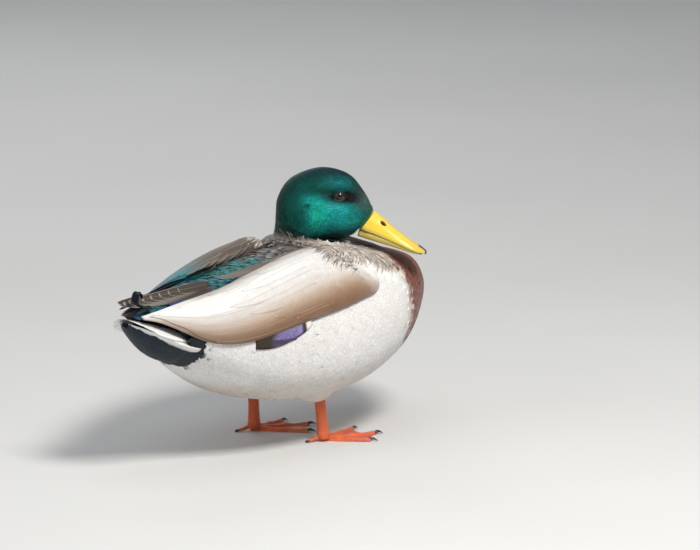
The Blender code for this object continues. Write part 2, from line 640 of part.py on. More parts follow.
def add_claw(name, heel, heading, angle, reach, parent):
    """A curved horn off the end of a toe, its tip just over the floor."""
    direction = heading + np.radians(angle)
    ahead = np.array([np.cos(direction), np.sin(direction), 0.0])
    aside = np.array([-ahead[1], ahead[0], 0.0])
    start = np.array([heel[0] - HEEL * np.cos(heading), heel[1] - HEEL * np.sin(heading), 0.0])
    share = np.linspace(0, 1, 5)
    radius = CLAW_RADIUS * (1 - 0.85 * share ** 1.3)
    centre = start + ahead * (reach + GAP + CLAW_LENGTH * share)[:, None]
    centre[:, 2] = CLAW_HEIGHT * (1 + np.sin(share * np.pi)) + radius
    turn = turns(8)
    ring = np.cos(turn)[:, None] * aside + np.sin(turn)[:, None] * np.array([0.0, 0.0, 1.0])
    add_loft(name, centre[:, None] + radius[:, None, None] * ring, "horn_black", parent)


def add_hind_toe(name, heel, heading, parent):
    """The small lobed toe behind, hanging down to the floor."""
    ahead = -np.array([np.cos(heading), np.sin(heading), 0.0])
    aside = np.array([-ahead[1], ahead[0], 0.0])
    share = np.linspace(0, 1, 6)
    radius = HIND_TOE_RADIUS * (1 - 0.5 * share)
    centre = np.array([*heel, 0.0]) + ahead * (5.4 + GAP + HIND_TOE_LENGTH * share)[:, None]
    centre[:, 2] = 0.1 + radius + HIND_TOE_DROP * (1 - share) ** 2
    turn = turns(8)
    ring = np.cos(turn)[:, None] * aside + np.sin(turn)[:, None] * np.array([0.0, 0.0, 1.0])
    rings = centre[:, None] + radius[:, None, None] * ring
    add_loft(f"hind_toe_{name}", rings, "leg_orange", parent)


# ---- assembly ----

def add_empty(name, parent=None):
    empty = bpy.data.objects.new(name, None)
    empty.parent = parent
    bpy.context.scene.collection.objects.link(empty)
    return empty


def points_in_world(piece, graph):
    """Every point of a piece after its modifiers, in metres."""
    shown = piece.evaluated_get(graph)
    mesh = shown.to_mesh()
    points = np.empty(len(mesh.vertices) * 3, np.float32)
    mesh.vertices.foreach_get("co", points)
    shown.to_mesh_clear()
    world = np.array(shown.matrix_world)
    return points.reshape(-1, 3) @ world[:3, :3].T + world[:3, 3]


def stand_on_origin(root):
    """Moves the whole bird so that the middle of its box, at the soles, is the origin."""
    bpy.context.view_layer.update()
    graph = bpy.context.evaluated_depsgraph_get()
    shown = [piece for piece in bpy.data.objects if piece.type == "MESH" and not piece.hide_render]
    points = np.concatenate([points_in_world(piece, graph) for piece in shown])
    low, high = points.min(axis=0), points.max(axis=0)
    root.location = (-(low[0] + high[0]) / 2, -(low[1] + high[1]) / 2, -low[2])


def main():
    for old in list(bpy.data.objects):
        bpy.data.objects.remove(old)
    duck = add_empty("duck")
    head_turn = add_empty("head_turn", duck)
    head_turn.location = Vector(HEAD_MIDDLE) * MM
    head_turn.rotation_euler = (0.0, BILL_DROP, HEAD_TURN)
    trunk = add_trunk(duck)
    add_neck(duck)
    add_head(head_turn)
    add_bill(head_turn)
    add_tail(duck)
    add_uppertail(duck)
    add_undertail(duck)
    for side, name in ((-1, "right"), (1, "left")):
        add_wing(side, name, duck)
        add_speculum(side, name, duck)
        add_primaries(name, duck)
        add_curl(name, duck)
        add_leg(name, trunk, duck)
        add_foot(side, name, duck)
    stand_on_origin(duck)


main()
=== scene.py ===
"""Plumage, skin, eyes, bill and feet of a drake mallard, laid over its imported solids.

Lengths are in millimetres in the bird's own frame until a mesh is made: +X runs from the tail
to the breast, +Y is the bird's left and +Z is up, with the soles of the feet at Z = 0.
"""

import math

import bpy
import numpy as np
from mathutils import Matrix, Vector


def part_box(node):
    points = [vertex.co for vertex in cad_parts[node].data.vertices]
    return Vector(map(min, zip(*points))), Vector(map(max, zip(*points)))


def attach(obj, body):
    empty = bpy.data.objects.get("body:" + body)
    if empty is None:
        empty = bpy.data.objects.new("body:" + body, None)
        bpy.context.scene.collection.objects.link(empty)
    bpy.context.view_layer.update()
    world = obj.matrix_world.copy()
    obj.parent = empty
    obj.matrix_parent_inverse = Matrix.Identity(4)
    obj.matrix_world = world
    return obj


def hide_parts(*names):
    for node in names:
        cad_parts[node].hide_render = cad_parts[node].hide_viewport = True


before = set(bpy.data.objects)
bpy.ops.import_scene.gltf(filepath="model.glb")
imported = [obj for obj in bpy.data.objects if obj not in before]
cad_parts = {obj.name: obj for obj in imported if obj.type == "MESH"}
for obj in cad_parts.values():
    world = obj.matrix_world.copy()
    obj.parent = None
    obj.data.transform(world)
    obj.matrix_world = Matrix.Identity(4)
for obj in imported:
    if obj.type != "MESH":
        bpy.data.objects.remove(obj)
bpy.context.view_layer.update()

# ---- sizes shared with the solids ----

MM = 0.001
TAIL_ROOT, TAIL_TIP = 59.6, 1.0
TRUNK = [   # back x, back z, belly x, belly z, half width, lowness of the widest place, squareness
    (2, 134, 2, 120, 10, 0.0, 0.95), (30, 136, 28, 106, 21, 0.0, 0.95),
    (60, 140, 60, 86, 33, 0.0, 0.95), (92, 143.5, 90, 67, 47, 0.05, 0.9),
    (126, 147, 124, 50, 58, 0.1, 0.88), (160, 151, 162, 40, 66, 0.12, 0.88),
    (192, 155, 202, 35, 71.5, 0.14, 0.94), (208, 157, 240, 36, 74, 0.13, 0.96),
    (210, 158, 279, 44, 74, 0.1, 1.0), (210.5, 158.7, 315, 60, 72, 0.06, 1.02),
    (211, 159.4, 340, 84, 69, 0.0, 1.03), (211.5, 160, 349, 108, 64, 0.0, 1.03),
    (212, 160.6, 339, 131, 54, 0.0, 1.02), (212.5, 161.5, 302, 145, 38, 0.0, 1.0),
]
COLLAR = 13.0                   # the trunk's last section, where the neck begins
NAPE = 14.0                     # where the neck ends and the head's sections begin
BILL_ROOT = 20.0                # the head's last section
HEAD = [    # top forward, top up, under forward, under up, half width, lowness, squareness
    (-43, -31, 1, -35.5, 22.0, 0.0, 1.0), (-46, -15, 7, -34.5, 21.5, 0.0, 1.0),
    (-40.5, 3, 12.5, -32.5, 20.5, 0.1, 0.96), (-21, 18, 17, -30, 19.8, 0.13, 0.93),
    (1.5, 20, 19.5, -27, 17.6, 0.13, 0.92), (18, 10.5, 21.5, -25, 14.0, 0.1, 0.9),
    (30.5, -1.5, 22.5, -22.5, 9.5, 0.1, 0.9),
]
HEAD_MIDDLE = (247.0, -21.2, 194.0)
HEAD_TURN, BILL_DROP = math.radians(-52), math.radians(18)
EYE, EYE_RADIUS = (0.0, 13.6, 3.2), 5.3
UPPER_BILL = [
    (31.0, -2.0, 23.3, -20.2, 9.4), (38.0, -5.2, 33.5, -20.2, 9.0), (47.0, -9.2, 45.0, -20.6, 9.1),
    (56.5, -13.0, 56.0, -21.2, 10.0), (65.0, -15.9, 65.0, -21.8, 11.1),
    (72.0, -18.0, 72.0, -22.2, 11.0), (77.5, -19.6, 77.5, -22.5, 8.6),
    (80.8, -21.0, 80.8, -22.6, 4.0),
]
LOWER_BILL = [
    (24.0, -21.0, 24.0, -25.8, 7.6), (38.0, -21.2, 38.0, -25.6, 7.6),
    (54.0, -21.9, 54.0, -25.2, 8.4), (66.0, -22.7, 66.0, -25.0, 9.4),
    (73.0, -23.1, 73.0, -24.6, 8.4), (77.5, -23.4, 77.5, -24.2, 4.6),
]
WING = [    # section number, angle of the upper and of the lower edge from the back, thickness
    (9.7, 50, 61, 2.0), (9.3, 43, 66, 3.6), (8.8, 36, 68.5, 5.6), (8.1, 28, 69, 8.0),
    (7.2, 20, 68.5, 10.5), (6.0, 16, 71, 11.0), (5.0, 15.5, 75, 10.5), (4.0, 18, 82, 9.0),
    (3.2, 21, 90, 7.0), (2.4, 23, 97, 5.0), (1.9, 24, 96, 3.8), (1.3, 26, 84, 2.8),
    (0.8, 30, 66, 2.2), (0.4, 36, 52, 1.8),
]
LAYER_GAP, WING_EDGE, WING_CROWN = 0.6, 0.9, 3.4
LEFT_WING_OPEN, LEFT_WING_LIFT, OPENING = 7.0, 1.28, (1.0, 4.0, 6.5, 8.0)
PRIMARIES = {
    "right": [(94, -11.5, 145.8, 3.6), (72, -9.0, 144.4, 5.0), (46, -1.0, 143.4, 5.2),
              (24, 7.0, 142.6, 4.2), (9, 12.0, 142.0, 1.4)],
    "left": [(94, 14.0, 146.4, 3.4), (70, 12.8, 144.4, 4.2), (46, 12.2, 141.8, 4.4),
             (27, 13.2, 138.6, 3.4), (16, 15.0, 136.2, 1.4)],
}
BLADE_SLOPE = {"right": (0.05, -0.76, -0.65), "left": (0.05, 0.8, -0.6)}
TAIL_TOP = [(1, 132.0), (16, 128.0), (38, 123.0), (59.6, 119.0)]
TAIL_HALF_WIDTH = [(1, 12.0), (14, 20.5), (24, 25.0), (42, 26.5), (59.6, 25.0)]
TAIL_DROP, TAIL_RIM, TAIL_FEATHERS, TAIL_SWEEP = 13.0, 26.0, 9, (17.0, 2.4)
UPPERTAIL = [(59.6, 139.3, 27.0), (44, 138.0, 19.0), (30, 135.8, 13.0), (20, 133.0, 7.0),
             (13, 131.4, 2.6)]
UNDERTAIL = [(59.6, 86.5, 31.0), (44, 92.0, 27.5), (30, 100.0, 22.0), (18, 110.5, 16.5),
             (8, 120.5, 9.0), (4, 125.0, 4.0)]
CURL_ROOTS = {"right": (28.0, -6.4, 137.6), "left": (31.0, -2.4, 138.0)}
CURL_RADIUS, CURL_SWEEP, CURL_WIDTH, CURL_RUN = 9.5, 235.0, 3.8, 14.0
CURL_TIGHTEST, CURL_STEPS = 0.62, 60
HIP = {"right": (207.0, -31.5), "left": (203.0, 32.0)}
ANKLE = {"right": (213.0, -33.0), "left": (207.0, 34.0)}
SHANK_TOP, SHANK_FOOT, SHANK_FLATNESS = 52.0, 4.0, 0.84
SHANK_RADII = [(0.0, 5.8), (0.25, 5.1), (0.6, 4.8), (0.85, 5.2), (1.0, 5.6)]
FOOT_HEADING = {"right": -24.0, "left": -30.0}
TOE_SPREAD, WEB_SPREAD, HEEL, FOOT_ROOT = 27.0, 31.0, 5.0, 2.0
TOE_ANGLES = {"outer": -TOE_SPREAD, "middle": 0.0, "inner": TOE_SPREAD}
TOE_LENGTHS = {"outer": 49.0, "middle": 53.0, "inner": 42.0}
TOE_RADIUS, WEB_THICKNESS, WEB_NOTCH = 3.1, 1.1, 0.13
CLAW_LENGTH, CLAW_RADIUS = 6.5, 1.5
HIND_TOE_LENGTH, HIND_TOE_RADIUS, HIND_TOE_DROP = 12.0, 1.9, 2.4
SIDES = (("right", -1), ("left", 1))

tail_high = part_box("tail")[1]
trunk_low, trunk_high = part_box("trunk")
ORIGIN = np.array([tail_high[0] - TAIL_ROOT * MM, (trunk_low[1] + trunk_high[1]) / 2, 0.0])


# ---- colours, as linear red, green, blue ----

def rgb(red, green, blue):
    """A colour."""
    return np.array([red, green, blue])


WHITE = rgb(0.865, 0.852, 0.84)
PALE = rgb(0.70, 0.665, 0.62)
SILVER = rgb(0.56, 0.53, 0.50)
CREAM = rgb(0.56, 0.455, 0.355)
TAN = rgb(0.43, 0.285, 0.175)
WARM_BROWN = rgb(0.24, 0.125, 0.068)
DRAB = rgb(0.105, 0.078, 0.060)
GREY_BROWN = rgb(0.24, 0.20, 0.17)
CHESTNUT = rgb(0.185, 0.052, 0.032)
# chestnut darkened for painted shade towards the throat and under the bill
SHADED_CHESTNUT = rgb(0.050, 0.016, 0.014)
BLACK = rgb(0.010, 0.011, 0.013)
PITCH = rgb(0.004, 0.004, 0.005)
DEEP_GREEN = rgb(0.004, 0.085, 0.068)
EMERALD = rgb(0.008, 0.47, 0.40)
TEAL = rgb(0.02, 0.57, 0.55)
COBALT = rgb(0.03, 0.16, 0.38)
NAVY = rgb(0.010, 0.035, 0.060)
VIOLET = rgb(0.27, 0.22, 0.52)
LORE_GREY = rgb(0.10, 0.19, 0.17)
YELLOW = rgb(0.80, 0.55, 0.05)
OLIVE = rgb(0.36, 0.33, 0.085)
SLATE = rgb(0.045, 0.055, 0.070)
ORANGE = rgb(0.80, 0.17, 0.055)
PEACH = rgb(0.84, 0.33, 0.17)
PINK = rgb(0.72, 0.16, 0.12)


def mix(one, other, share):
    """From one colour to the other as share goes from 0 to 1; share has one axis fewer."""
    share = np.clip(np.asarray(share, float), 0, 1)[..., None]
    return one * (1 - share) + other * share


def over(colour, *layers):
    """A colour with others laid over it in turn, each given as a tone and its share."""
    for tone, share in layers:
        colour = mix(colour, tone, share)
    return colour


def ease(low, high, value):
    """0 below low, 1 above high, and 3t^2 - 2t^3 between them."""
    part = np.clip((value - low) / (high - low), 0, 1)
    return part * part * (3 - 2 * part)


def inset(unit):
    """A place on a map from 0 to 1, drawn in a little from the map's edges."""
    return 0.01 + 0.98 * unit


def circle(count):
    """Angles once round, evenly, without the last, which is the first again."""
    return np.linspace(0, 2 * math.pi, count, endpoint=False)


def spread_over(first, last, count, left, right, across):
    """Two parameters over a grid, count rows by across columns."""
    return np.meshgrid(np.linspace(first, last, count), np.linspace(left, right, across),
                       indexing="ij")


def together(row, other):
    """Two parameters of a surface as arrays of one shape."""
    return np.broadcast_arrays(np.asarray(row, float), np.asarray(other, float))


def stacked(*parts):
    """Arrays of one shape as the parts of a new last axis."""
    return np.stack(parts, -1)


def unit_length(vectors):
    """Vectors over their own lengths."""
    return vectors / np.linalg.norm(vectors, axis=-1, keepdims=True)


def varied(rng, count, length, width, veer):
    """Lengths and widths that differ by feather, and turns from the lie of the coat."""
    return (length * rng.uniform(*SIZES, count), width * rng.uniform(*SIZES, count),
            rng.normal(0, veer, count))


def tones(rng, amount, *shape):
    """Random factors round 1, e to a normal number, for colours that differ by feather."""
    return np.exp(rng.normal(0, amount, shape))


# ---- curves and surfaces ----

def smooth(keys, place):
    """A curve through evenly numbered keys, with the tangent at each from its neighbours."""
    keys = np.asarray(keys, float)
    place = np.clip(np.asarray(place, float), 0, len(keys) - 1)
    start = np.minimum(place.astype(int), len(keys) - 2)
    part = (place - start)[..., None]
    longer = np.concatenate([[2 * keys[0] - keys[1]], keys, [2 * keys[-1] - keys[-2]]])
    before, here, after, beyond = (longer[start + step] for step in range(4))
    return 0.5 * (2 * here + (after - before) * part
                  + (2 * before - 5 * here + 4 * after - beyond) * part ** 2
                  + (3 * here - before - 3 * after + beyond) * part ** 3)


def read(keys, place):
    """The second column of keys at a value of the first, by straight lines."""
    keys = np.asarray(keys, float)
    return np.interp(place, keys[:, 0], keys[:, 1])


def section(rows, turn, low=None, square=None):
    """A flattened oval from a top point to an under point, both in the plane of symmetry.

    out = |sin|^square (1 - low cos) half width; up = |cos|^square half height.
    """
    low = rows[..., 5] if low is None else low
    square = rows[..., 6] if square is None else square
    zero = np.zeros(rows.shape[:-1])
    top = stacked(rows[..., 0], zero, rows[..., 1])
    under = stacked(rows[..., 2], zero, rows[..., 3])
    half = (top - under) / 2
    sine, cosine = np.sin(turn), np.cos(turn)
    out = np.sign(sine) * np.abs(sine) ** square * (1 - low * cosine) * rows[..., 4]
    along = np.sign(cosine) * np.abs(cosine) ** square
    points = (top + under) / 2 + along[..., None] * half
    points[..., 1] += out
    return points


def trunk_place(row, turn):
    """The trunk's surface at a section number and an angle from the back."""
    return section(smooth(TRUNK, row), turn)


HEAD_MATRIX = np.array(Matrix.Translation(HEAD_MIDDLE)
                       @ Matrix.Rotation(HEAD_TURN, 4, "Z") @ Matrix.Rotation(BILL_DROP, 4, "Y"))


def from_head(points):
    """From the head's own frame, forward, left and up from between the eyes, to the bird's."""
    return points @ HEAD_MATRIX[:3, :3].T + HEAD_MATRIX[:3, 3]


def to_head(points):
    """The other way: from the bird's frame to the head's own."""
    return (points - HEAD_MATRIX[:3, 3]) @ HEAD_MATRIX[:3, :3]


def head_place(row, turn):
    """The head's surface at a section number and an angle from its top."""
    return from_head(section(smooth(HEAD, row), turn))


SIZES = (0.8, 1.2)              # how much feathers of one kind differ in length and width
NECK_BULGE = 0.75
CHART_STEP = 0.01               # how far each way a surface's run is measured, in its parameters
HEAD_LAG = math.radians(48)     # how far the turned head's angles follow the trunk's
THIGH_REACH, THIGH_SWELL, THIGH_BELOW = 22.0, 6.0, (62.0, 92.0)


def figure(row, turn):
    """The bird's outer surface: trunk sections 2 to 13, a blend up the neck to 14, the head to 20.

    The head's angles are taken HEAD_LAG behind, as it is turned to the right.  Round each hip
    the surface is pushed down by (1 - r^2)^2, for the feathered end of the thigh.
    """
    row, turn = together(row, turn)
    on_trunk, on_head = row <= COLLAR, row >= NAPE
    on_neck = ~(on_trunk | on_head)
    points = np.empty(row.shape + (3,))
    points[on_trunk] = trunk_place(row[on_trunk], turn[on_trunk])
    points[on_head] = head_place(row[on_head] - NAPE, turn[on_head] - HEAD_LAG)
    collar = trunk_place(np.full(on_neck.sum(), COLLAR), turn[on_neck])
    nape = head_place(np.zeros(on_neck.sum()), turn[on_neck] - HEAD_LAG)
    share = ((row[on_neck] - COLLAR) ** NECK_BULGE)[:, None]
    points[on_neck] = collar * (1 - share) + nape * share
    for hip in HIP.values():
        away = np.linalg.norm(points[..., :2] - np.array(hip), axis=-1) / THIGH_REACH
        under = 1 - ease(*THIGH_BELOW, points[..., 2])
        points[..., 2] -= THIGH_SWELL * under * np.clip(1 - away ** 2, 0, None) ** 2
    return points


def wing_keys(side, row, across):
    """A wing's section number, angle round the trunk, thickness and share down from its upper
    edge, which is (1 - cos(pi across)) / 2; the left wing lies a little more open."""
    share = (1 - np.cos(math.pi * np.clip(across, 0, 1))) / 2
    number, top, low, thick = np.moveaxis(smooth(WING, len(WING) - 1 - row), -1, 0)
    opening = np.interp(number, OPENING, (0, 1, 1, 0)) * (side > 0)
    top = top + LEFT_WING_OPEN * opening
    thick = thick * (1 + (LEFT_WING_LIFT - 1) * opening)
    return number, np.radians(top + (low - top) * share) * side, thick, share


def wing_surface(side, sink=0.0):
    """The folded wing's outer face over the trunk: row 13 at its front end and 0 at its rear.

    across runs 0 to 1 from its upper edge to its lower; it stands off the trunk by its thickness
    times sqrt(1 - |2 share - 1|^3.4), so it is flat in the middle and turns down at both edges.
    """
    def place(row, across):
        row, across = together(row, across)
        number, angle, thick, share = wing_keys(side, row, across)
        crown = np.sqrt(np.clip(1 - np.abs(2 * share - 1) ** WING_CROWN, 0, 1))
        lift = LAYER_GAP + WING_EDGE + np.maximum(thick - WING_EDGE, 0.4) * crown - sink
        outward = chart(trunk_place, number, angle)[4]
        return trunk_place(number, angle) + outward * lift[..., None]
    return place


def wing_edge(number, column):
    """The angle of a wing's upper edge, column 1, or lower, column 2, over a trunk section."""
    keys = np.array(WING[::-1], float)
    return np.interp(number, keys[:, 0], keys[:, column])


def tail_height(x, y):
    """Height of the tail's upper side: a roof, highest along the middle and lower by its drop
    times |y / rim|^1.6."""
    drop = TAIL_DROP * (0.45 + 0.55 * (x - TAIL_TIP) / (TAIL_ROOT - TAIL_TIP))
    return read(TAIL_TOP, x) - drop * np.abs(y / TAIL_RIM) ** 1.6


def tail_roof(x, y):
    """The tail's height, level beyond its rims."""
    return tail_height(x, np.clip(y, -TAIL_RIM - 1, TAIL_RIM + 1))


def tail_surface(row, share):
    """The tail fan: row 1 at its root and 0 at its tip, share -1 on the right and 1 on the left."""
    row, share = together(row, share)
    x = TAIL_TIP + (TAIL_ROOT - TAIL_TIP) * row
    y = share * read(TAIL_HALF_WIDTH, TAIL_ROOT - (TAIL_ROOT - x) * 0.75)
    return stacked(x, y, tail_height(x, y))


def covert_surface(keys, upper):
    """The outer face of the coverts over or under the tail, row 1 at the root, 0 at the tip: off
    the tail's face by what its height leaves, times 1 - |share|^power."""
    keys = np.array(keys, float)

    def place(row, share):
        row, share = together(row, share)
        x, height, half = np.moveaxis(smooth(keys, (1 - row) * (len(keys) - 1)), -1, 0)
        y = share * half
        roof = tail_roof(x, y)
        aside = np.clip(np.abs(share), 0, 1)
        if upper:
            z = roof + 0.5 + np.maximum(height - tail_height(x, 0 * y), 0) * (1 - aside ** 2.4)
        else:
            z = roof - 3 - np.maximum(roof - 3 - height, 0) * (1 - aside ** 2.6)
        return stacked(x, y, z)
    return place


def blade_surface(name):
    """The closed primaries of one wing: a blade sloping down and outwards along a curved path."""
    keys = np.array(PRIMARIES[name], float)
    slope = np.array(BLADE_SLOPE[name]) / np.linalg.norm(BLADE_SLOPE[name])

    def place(row, share):
        row, share = together(row, share)
        keyed = smooth(keys, (1 - row) * (len(keys) - 1))
        return keyed[..., :3] + (share * keyed[..., 3])[..., None] * slope
    return place


def chart(surface, row, turn):
    """How the surface runs at a point: its stretch along a row, the lean of its columns, their
    spread, and unit vectors ahead (rows rising), aside and outwards (ahead x aside)."""
    step = CHART_STEP
    along = (surface(row + step, turn) - surface(row - step, turn)) / (2 * step)
    across = (surface(row, turn + step) - surface(row, turn - step)) / (2 * step)
    stretch = np.maximum(np.linalg.norm(along, axis=-1), 1e-6)
    ahead = along / stretch[..., None]
    lean = (across * ahead).sum(-1)
    aside = across - lean[..., None] * ahead
    spread = np.maximum(np.linalg.norm(aside, axis=-1), 1e-6)
    aside = aside / spread[..., None]
    return stretch, lean, spread, (ahead, aside), np.cross(ahead, aside)


# ---- meshes ----

def new_object(name, points, loops, starts, material, *, uvs, colours, slot, values=None,
               replaces=(), sharp=None):
    """A mesh object at the origin that rides on the bird.

    points are in the bird's frame; loops and starts list the corners of the faces; uvs are by
    corner, values and colours by point.
    """
    mesh = bpy.data.meshes.new(name)
    mesh.vertices.add(len(points))
    placed = np.asarray(points, float) * MM + ORIGIN
    mesh.vertices.foreach_set("co", placed.astype(np.float32).ravel())
    mesh.loops.add(len(loops))
    mesh.loops.foreach_set("vertex_index", loops.astype(np.int32))
    mesh.polygons.add(len(starts))
    mesh.polygons.foreach_set("loop_start", starts.astype(np.int32))
    mesh.update(calc_edges=True)
    for key, places in uvs.items():
        layer = mesh.uv_layers.new(name=key, do_init=False)
        layer.uv.foreach_set("vector", places.astype(np.float32).ravel())
    for key, value in (values or {}).items():
        layer = mesh.attributes.new(key, "FLOAT", "POINT")
        layer.data.foreach_set("value", value.astype(np.float32).ravel())
    for key, colour in colours.items():
        layer = mesh.attributes.new(key, "FLOAT_COLOR", "POINT")
        four = np.concatenate([colour.reshape(-1, 3), np.ones((len(points), 1))], 1)
        layer.data.foreach_set("color", four.astype(np.float32).ravel())
    mesh.materials.append(material)
    mesh.shade_smooth()
    if sharp:
        mesh.set_sharp_from_angle(angle=math.radians(sharp))
    mesh.validate()
    piece = bpy.data.objects.new(name, mesh)
    bpy.context.scene.collection.objects.link(piece)
    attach(piece, "root")
    if replaces:
        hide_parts(*replaces)


def corners(grid):
    """The four corners of each cell of a grid, in turn round it."""
    cells = [grid[:-1, :-1], grid[:-1, 1:], grid[1:, 1:], grid[1:, :-1]]
    return np.stack(cells, 2).reshape(-1, 4, *grid.shape[2:])


def tube(name, rings, material, flip=False, colour=None, values=None, **options):
    """A closed solid through rings of points (rows, around, 3), a fan filling each end."""
    rows, around = rings.shape[:2]
    index = np.arange(rows * around).reshape(rows, around)
    quads = corners(np.pad(index, ((0, 0), (0, 1)), "wrap"))
    laid = corners(stacked(*spread_over(0, 1, rows, 0, 1, around + 1)[::-1]))
    step = np.arange(around)
    ahead = np.roll(step, -1)
    first, last = rows * around, rows * around + 1
    caps = np.concatenate([stacked(ahead, step, np.full(around, first)),
                           stacked(step, ahead, np.full(around, 0))
                           + [[(rows - 1) * around, (rows - 1) * around, last]]])
    if flip:
        quads, caps, laid = quads[:, ::-1], caps[:, ::-1], laid[:, ::-1]
    points = np.concatenate([rings.reshape(-1, 3), [rings[0].mean(0)], [rings[-1].mean(0)]])
    loops = np.concatenate([quads.ravel(), caps.ravel()])
    starts = np.concatenate([np.arange(len(quads)) * 4,
                             len(quads) * 4 + np.arange(len(caps)) * 3])
    ends = stacked(np.tile(step, 2) / around, np.repeat([0.0, 1.0], around))
    laid = np.concatenate([laid.reshape(-1, 2), np.repeat(ends, 3, 0)])
    shades = {} if colour is None else {"plumage": with_ends(colour)}
    kept = {key: with_ends(value[..., None])[:, 0] for key, value in (values or {}).items()}
    new_object(name, points, loops, starts, material, uvs={"OFBake": inset(laid)}, values=kept,
               colours=shades, **options)


def with_ends(grid):
    """A value for each ring's points, and for the two middles that fill the ends."""
    flat = grid.reshape(-1, grid.shape[-1])
    return np.concatenate([flat, [grid[0].mean(0)], [grid[-1].mean(0)]])


def shell(name, outer, inner, material, colour, flip=False, **options):
    """A closed solid between two sheets of points (rows, across, 3), joined at their rims."""
    rows, across = outer.shape[:2]
    index = np.arange(rows * across).reshape(rows, across)
    quads = []
    for sheet in (index, (index + rows * across)[::-1]):
        quads.append(corners(sheet))
    rim = [index[0, :], index[:, -1], index[-1, ::-1], index[::-1, 0]]
    edge = np.concatenate([side[:-1] for side in rim])
    following = np.roll(edge, -1)
    step = rows * across
    quads.append(stacked(following, edge, edge + step, following + step))
    quads = np.concatenate(quads)
    if flip:
        quads = quads[:, ::-1]
    points = np.concatenate([outer.reshape(-1, 3), inner.reshape(-1, 3)])
    shades = np.concatenate([colour.reshape(-1, 3)] * 2)
    place = stacked(*spread_over(0, 1, rows, 0, 1, across))
    half = inset(place.reshape(-1, 2)) * (0.49, 1)
    laid = np.concatenate([half, half + (0.505, 0)])        # a half of the map for each sheet
    new_object(name, points, quads.ravel(), np.arange(len(quads)) * 4, material,
               uvs={"OFBake": laid[quads.ravel()]}, colours={"plumage": shades}, **options)


# ---- feathers ----

PATCH = 0.003                   # size of one tuft on the coat's map
LEAST_STRETCH = 9.0             # rows closer together than this are taken as this far apart
VANE_OUTLINE = [(0, 0.3), (0.25, 0.8), (0.55, 1.0), (0.8, 0.86), (0.93, 0.56), (1, 0.2)]
POINTED = [(0, 0.35), (0.3, 0.95), (0.6, 1.0), (0.8, 0.78), (0.92, 0.42), (1, 0.05)]
LONG_VANE = [(0, 0.6), (0.15, 0.9), (0.5, 1.0), (0.85, 0.95), (0.93, 0.8), (0.97, 0.6), (1, 0.3)]
HAIR = [(0, 1.0), (0.5, 0.85), (0.85, 0.5), (1, 0.1)]
HIDDEN = 0.6                    # how far below a sound vane a torn one's copy lies
CROWD = 6                       # places tried for each one kept, roughly


def lay_vanes(surface, row, turn, length, width, veer, *, rng, heights, hand=1, stations=6,
              columns=5, rise=2.2, crown=0.05, outline=VANE_OUTLINE, fray=0.0, curl=0.0,
              tilt=0.0):
    """Feathers lying on a surface, each stepped from its root towards falling rows.

    At a share s of its length a vane is outline(s) wide and stands off the surface by
    tip - (tip - root) (1 - s)^rise, less crown times its half width times a^2 out at a from its
    shaft; curl lifts the last of it, fray ends its barbs short by a random amount, and tilt
    lifts the edge on the side of rising angles and drops the other.
    """
    count = len(row)
    share = np.linspace(0, 1, stations)
    spread_out = np.linspace(-1, 1, columns)
    length, width = np.broadcast_to(length, count), np.broadcast_to(width, count)
    veer = np.broadcast_to(veer, count)
    root, tip = (np.broadcast_to(height, count)[:, None] for height in heights)
    cosine, sine = np.cos(veer), np.sin(veer)
    here_row, here_turn = np.array(row, float), np.array(turn, float)
    points = np.empty((count, stations, columns, 3))
    rows, turns = np.empty((2, count, stations, columns))
    short = rng.random((count, columns)) * fray if fray else np.zeros((count, columns))
    for k in range(stations):
        stretch, lean, spread, (ahead, aside), outward = chart(surface, here_row, here_turn)
        stretch = np.maximum(stretch, LEAST_STRETCH)
        spread = np.maximum(spread, 0.3 * np.median(spread))
        lean = np.clip(lean, -spread, spread)
        half = width / 2 * read(outline, share[k])
        side_row = hand * (cosine * lean / (spread * stretch) - sine / stretch)
        side_turn = -hand * cosine / spread
        reach = half[:, None] * spread_out
        rows[:, k] = here_row[:, None] + reach * side_row[:, None]
        turns[:, k] = here_turn[:, None] + reach * side_turn[:, None]
        height = tip - (tip - root) * (1 - share[k]) ** rise + curl * share[k] ** 4
        height = height - crown * half[:, None] * spread_out ** 2 - hand * tilt * spread_out
        back = -cosine[:, None] * ahead + sine[:, None] * aside
        drawn = (short * length[:, None] * share[k] ** 3)[..., None] * back[:, None]
        points[:, k] = (surface(rows[:, k], turns[:, k]) - drawn
                        + hand * outward[:, None] * height[..., None])
        if k + 1 < stations:
            move = length / (stations - 1)
            here_row = here_row - move * (cosine + sine * lean / spread) / stretch
            here_turn = here_turn + move * sine / spread
    reach = np.linalg.norm(points[:, 1:] - points[:, :-1], axis=-1).max(axis=(1, 2))
    girth = np.linalg.norm(points[:, :, 1:] - points[:, :, :-1], axis=-1).max(axis=(1, 2))
    torn = (reach > 2.2 * length / (stations - 1) + 1.5) | (girth > 1.3 * width / (columns - 1) + 1)
    if torn.any():              # a vane torn by a fold in the surface hides under a sound one
        sound = rng.choice(np.flatnonzero(~torn), torn.sum())
        for values in (points, rows, turns):
            values[torn] = values[sound]
        points[torn] -= HIDDEN * hand * outward[sound][:, None, None]
    return {"points": points, "rows": rows, "turns": turns, "length": length, "width": width,
            "share": share, "across": spread_out}


def vane_faces(stations, columns):
    """Corners of one closed vane: its back, a flat underside and the two small ends.

    The points at the same station are numbered across; corner order makes every face look out.
    """
    index = np.arange(stations * columns).reshape(stations, columns)
    back = stacked(index[:-1, :-1], index[1:, :-1], index[1:, 1:], index[:-1, 1:])
    under = stacked(index[:-1, 0], index[:-1, -1], index[1:, -1], index[1:, 0])
    loops = np.concatenate([back.ravel(), under.ravel(), index[0], index[-1, ::-1]])
    quads = (stations - 1) * columns
    starts = np.concatenate([np.arange(quads) * 4, quads * 4 + np.array([0, columns])])
    return loops, starts


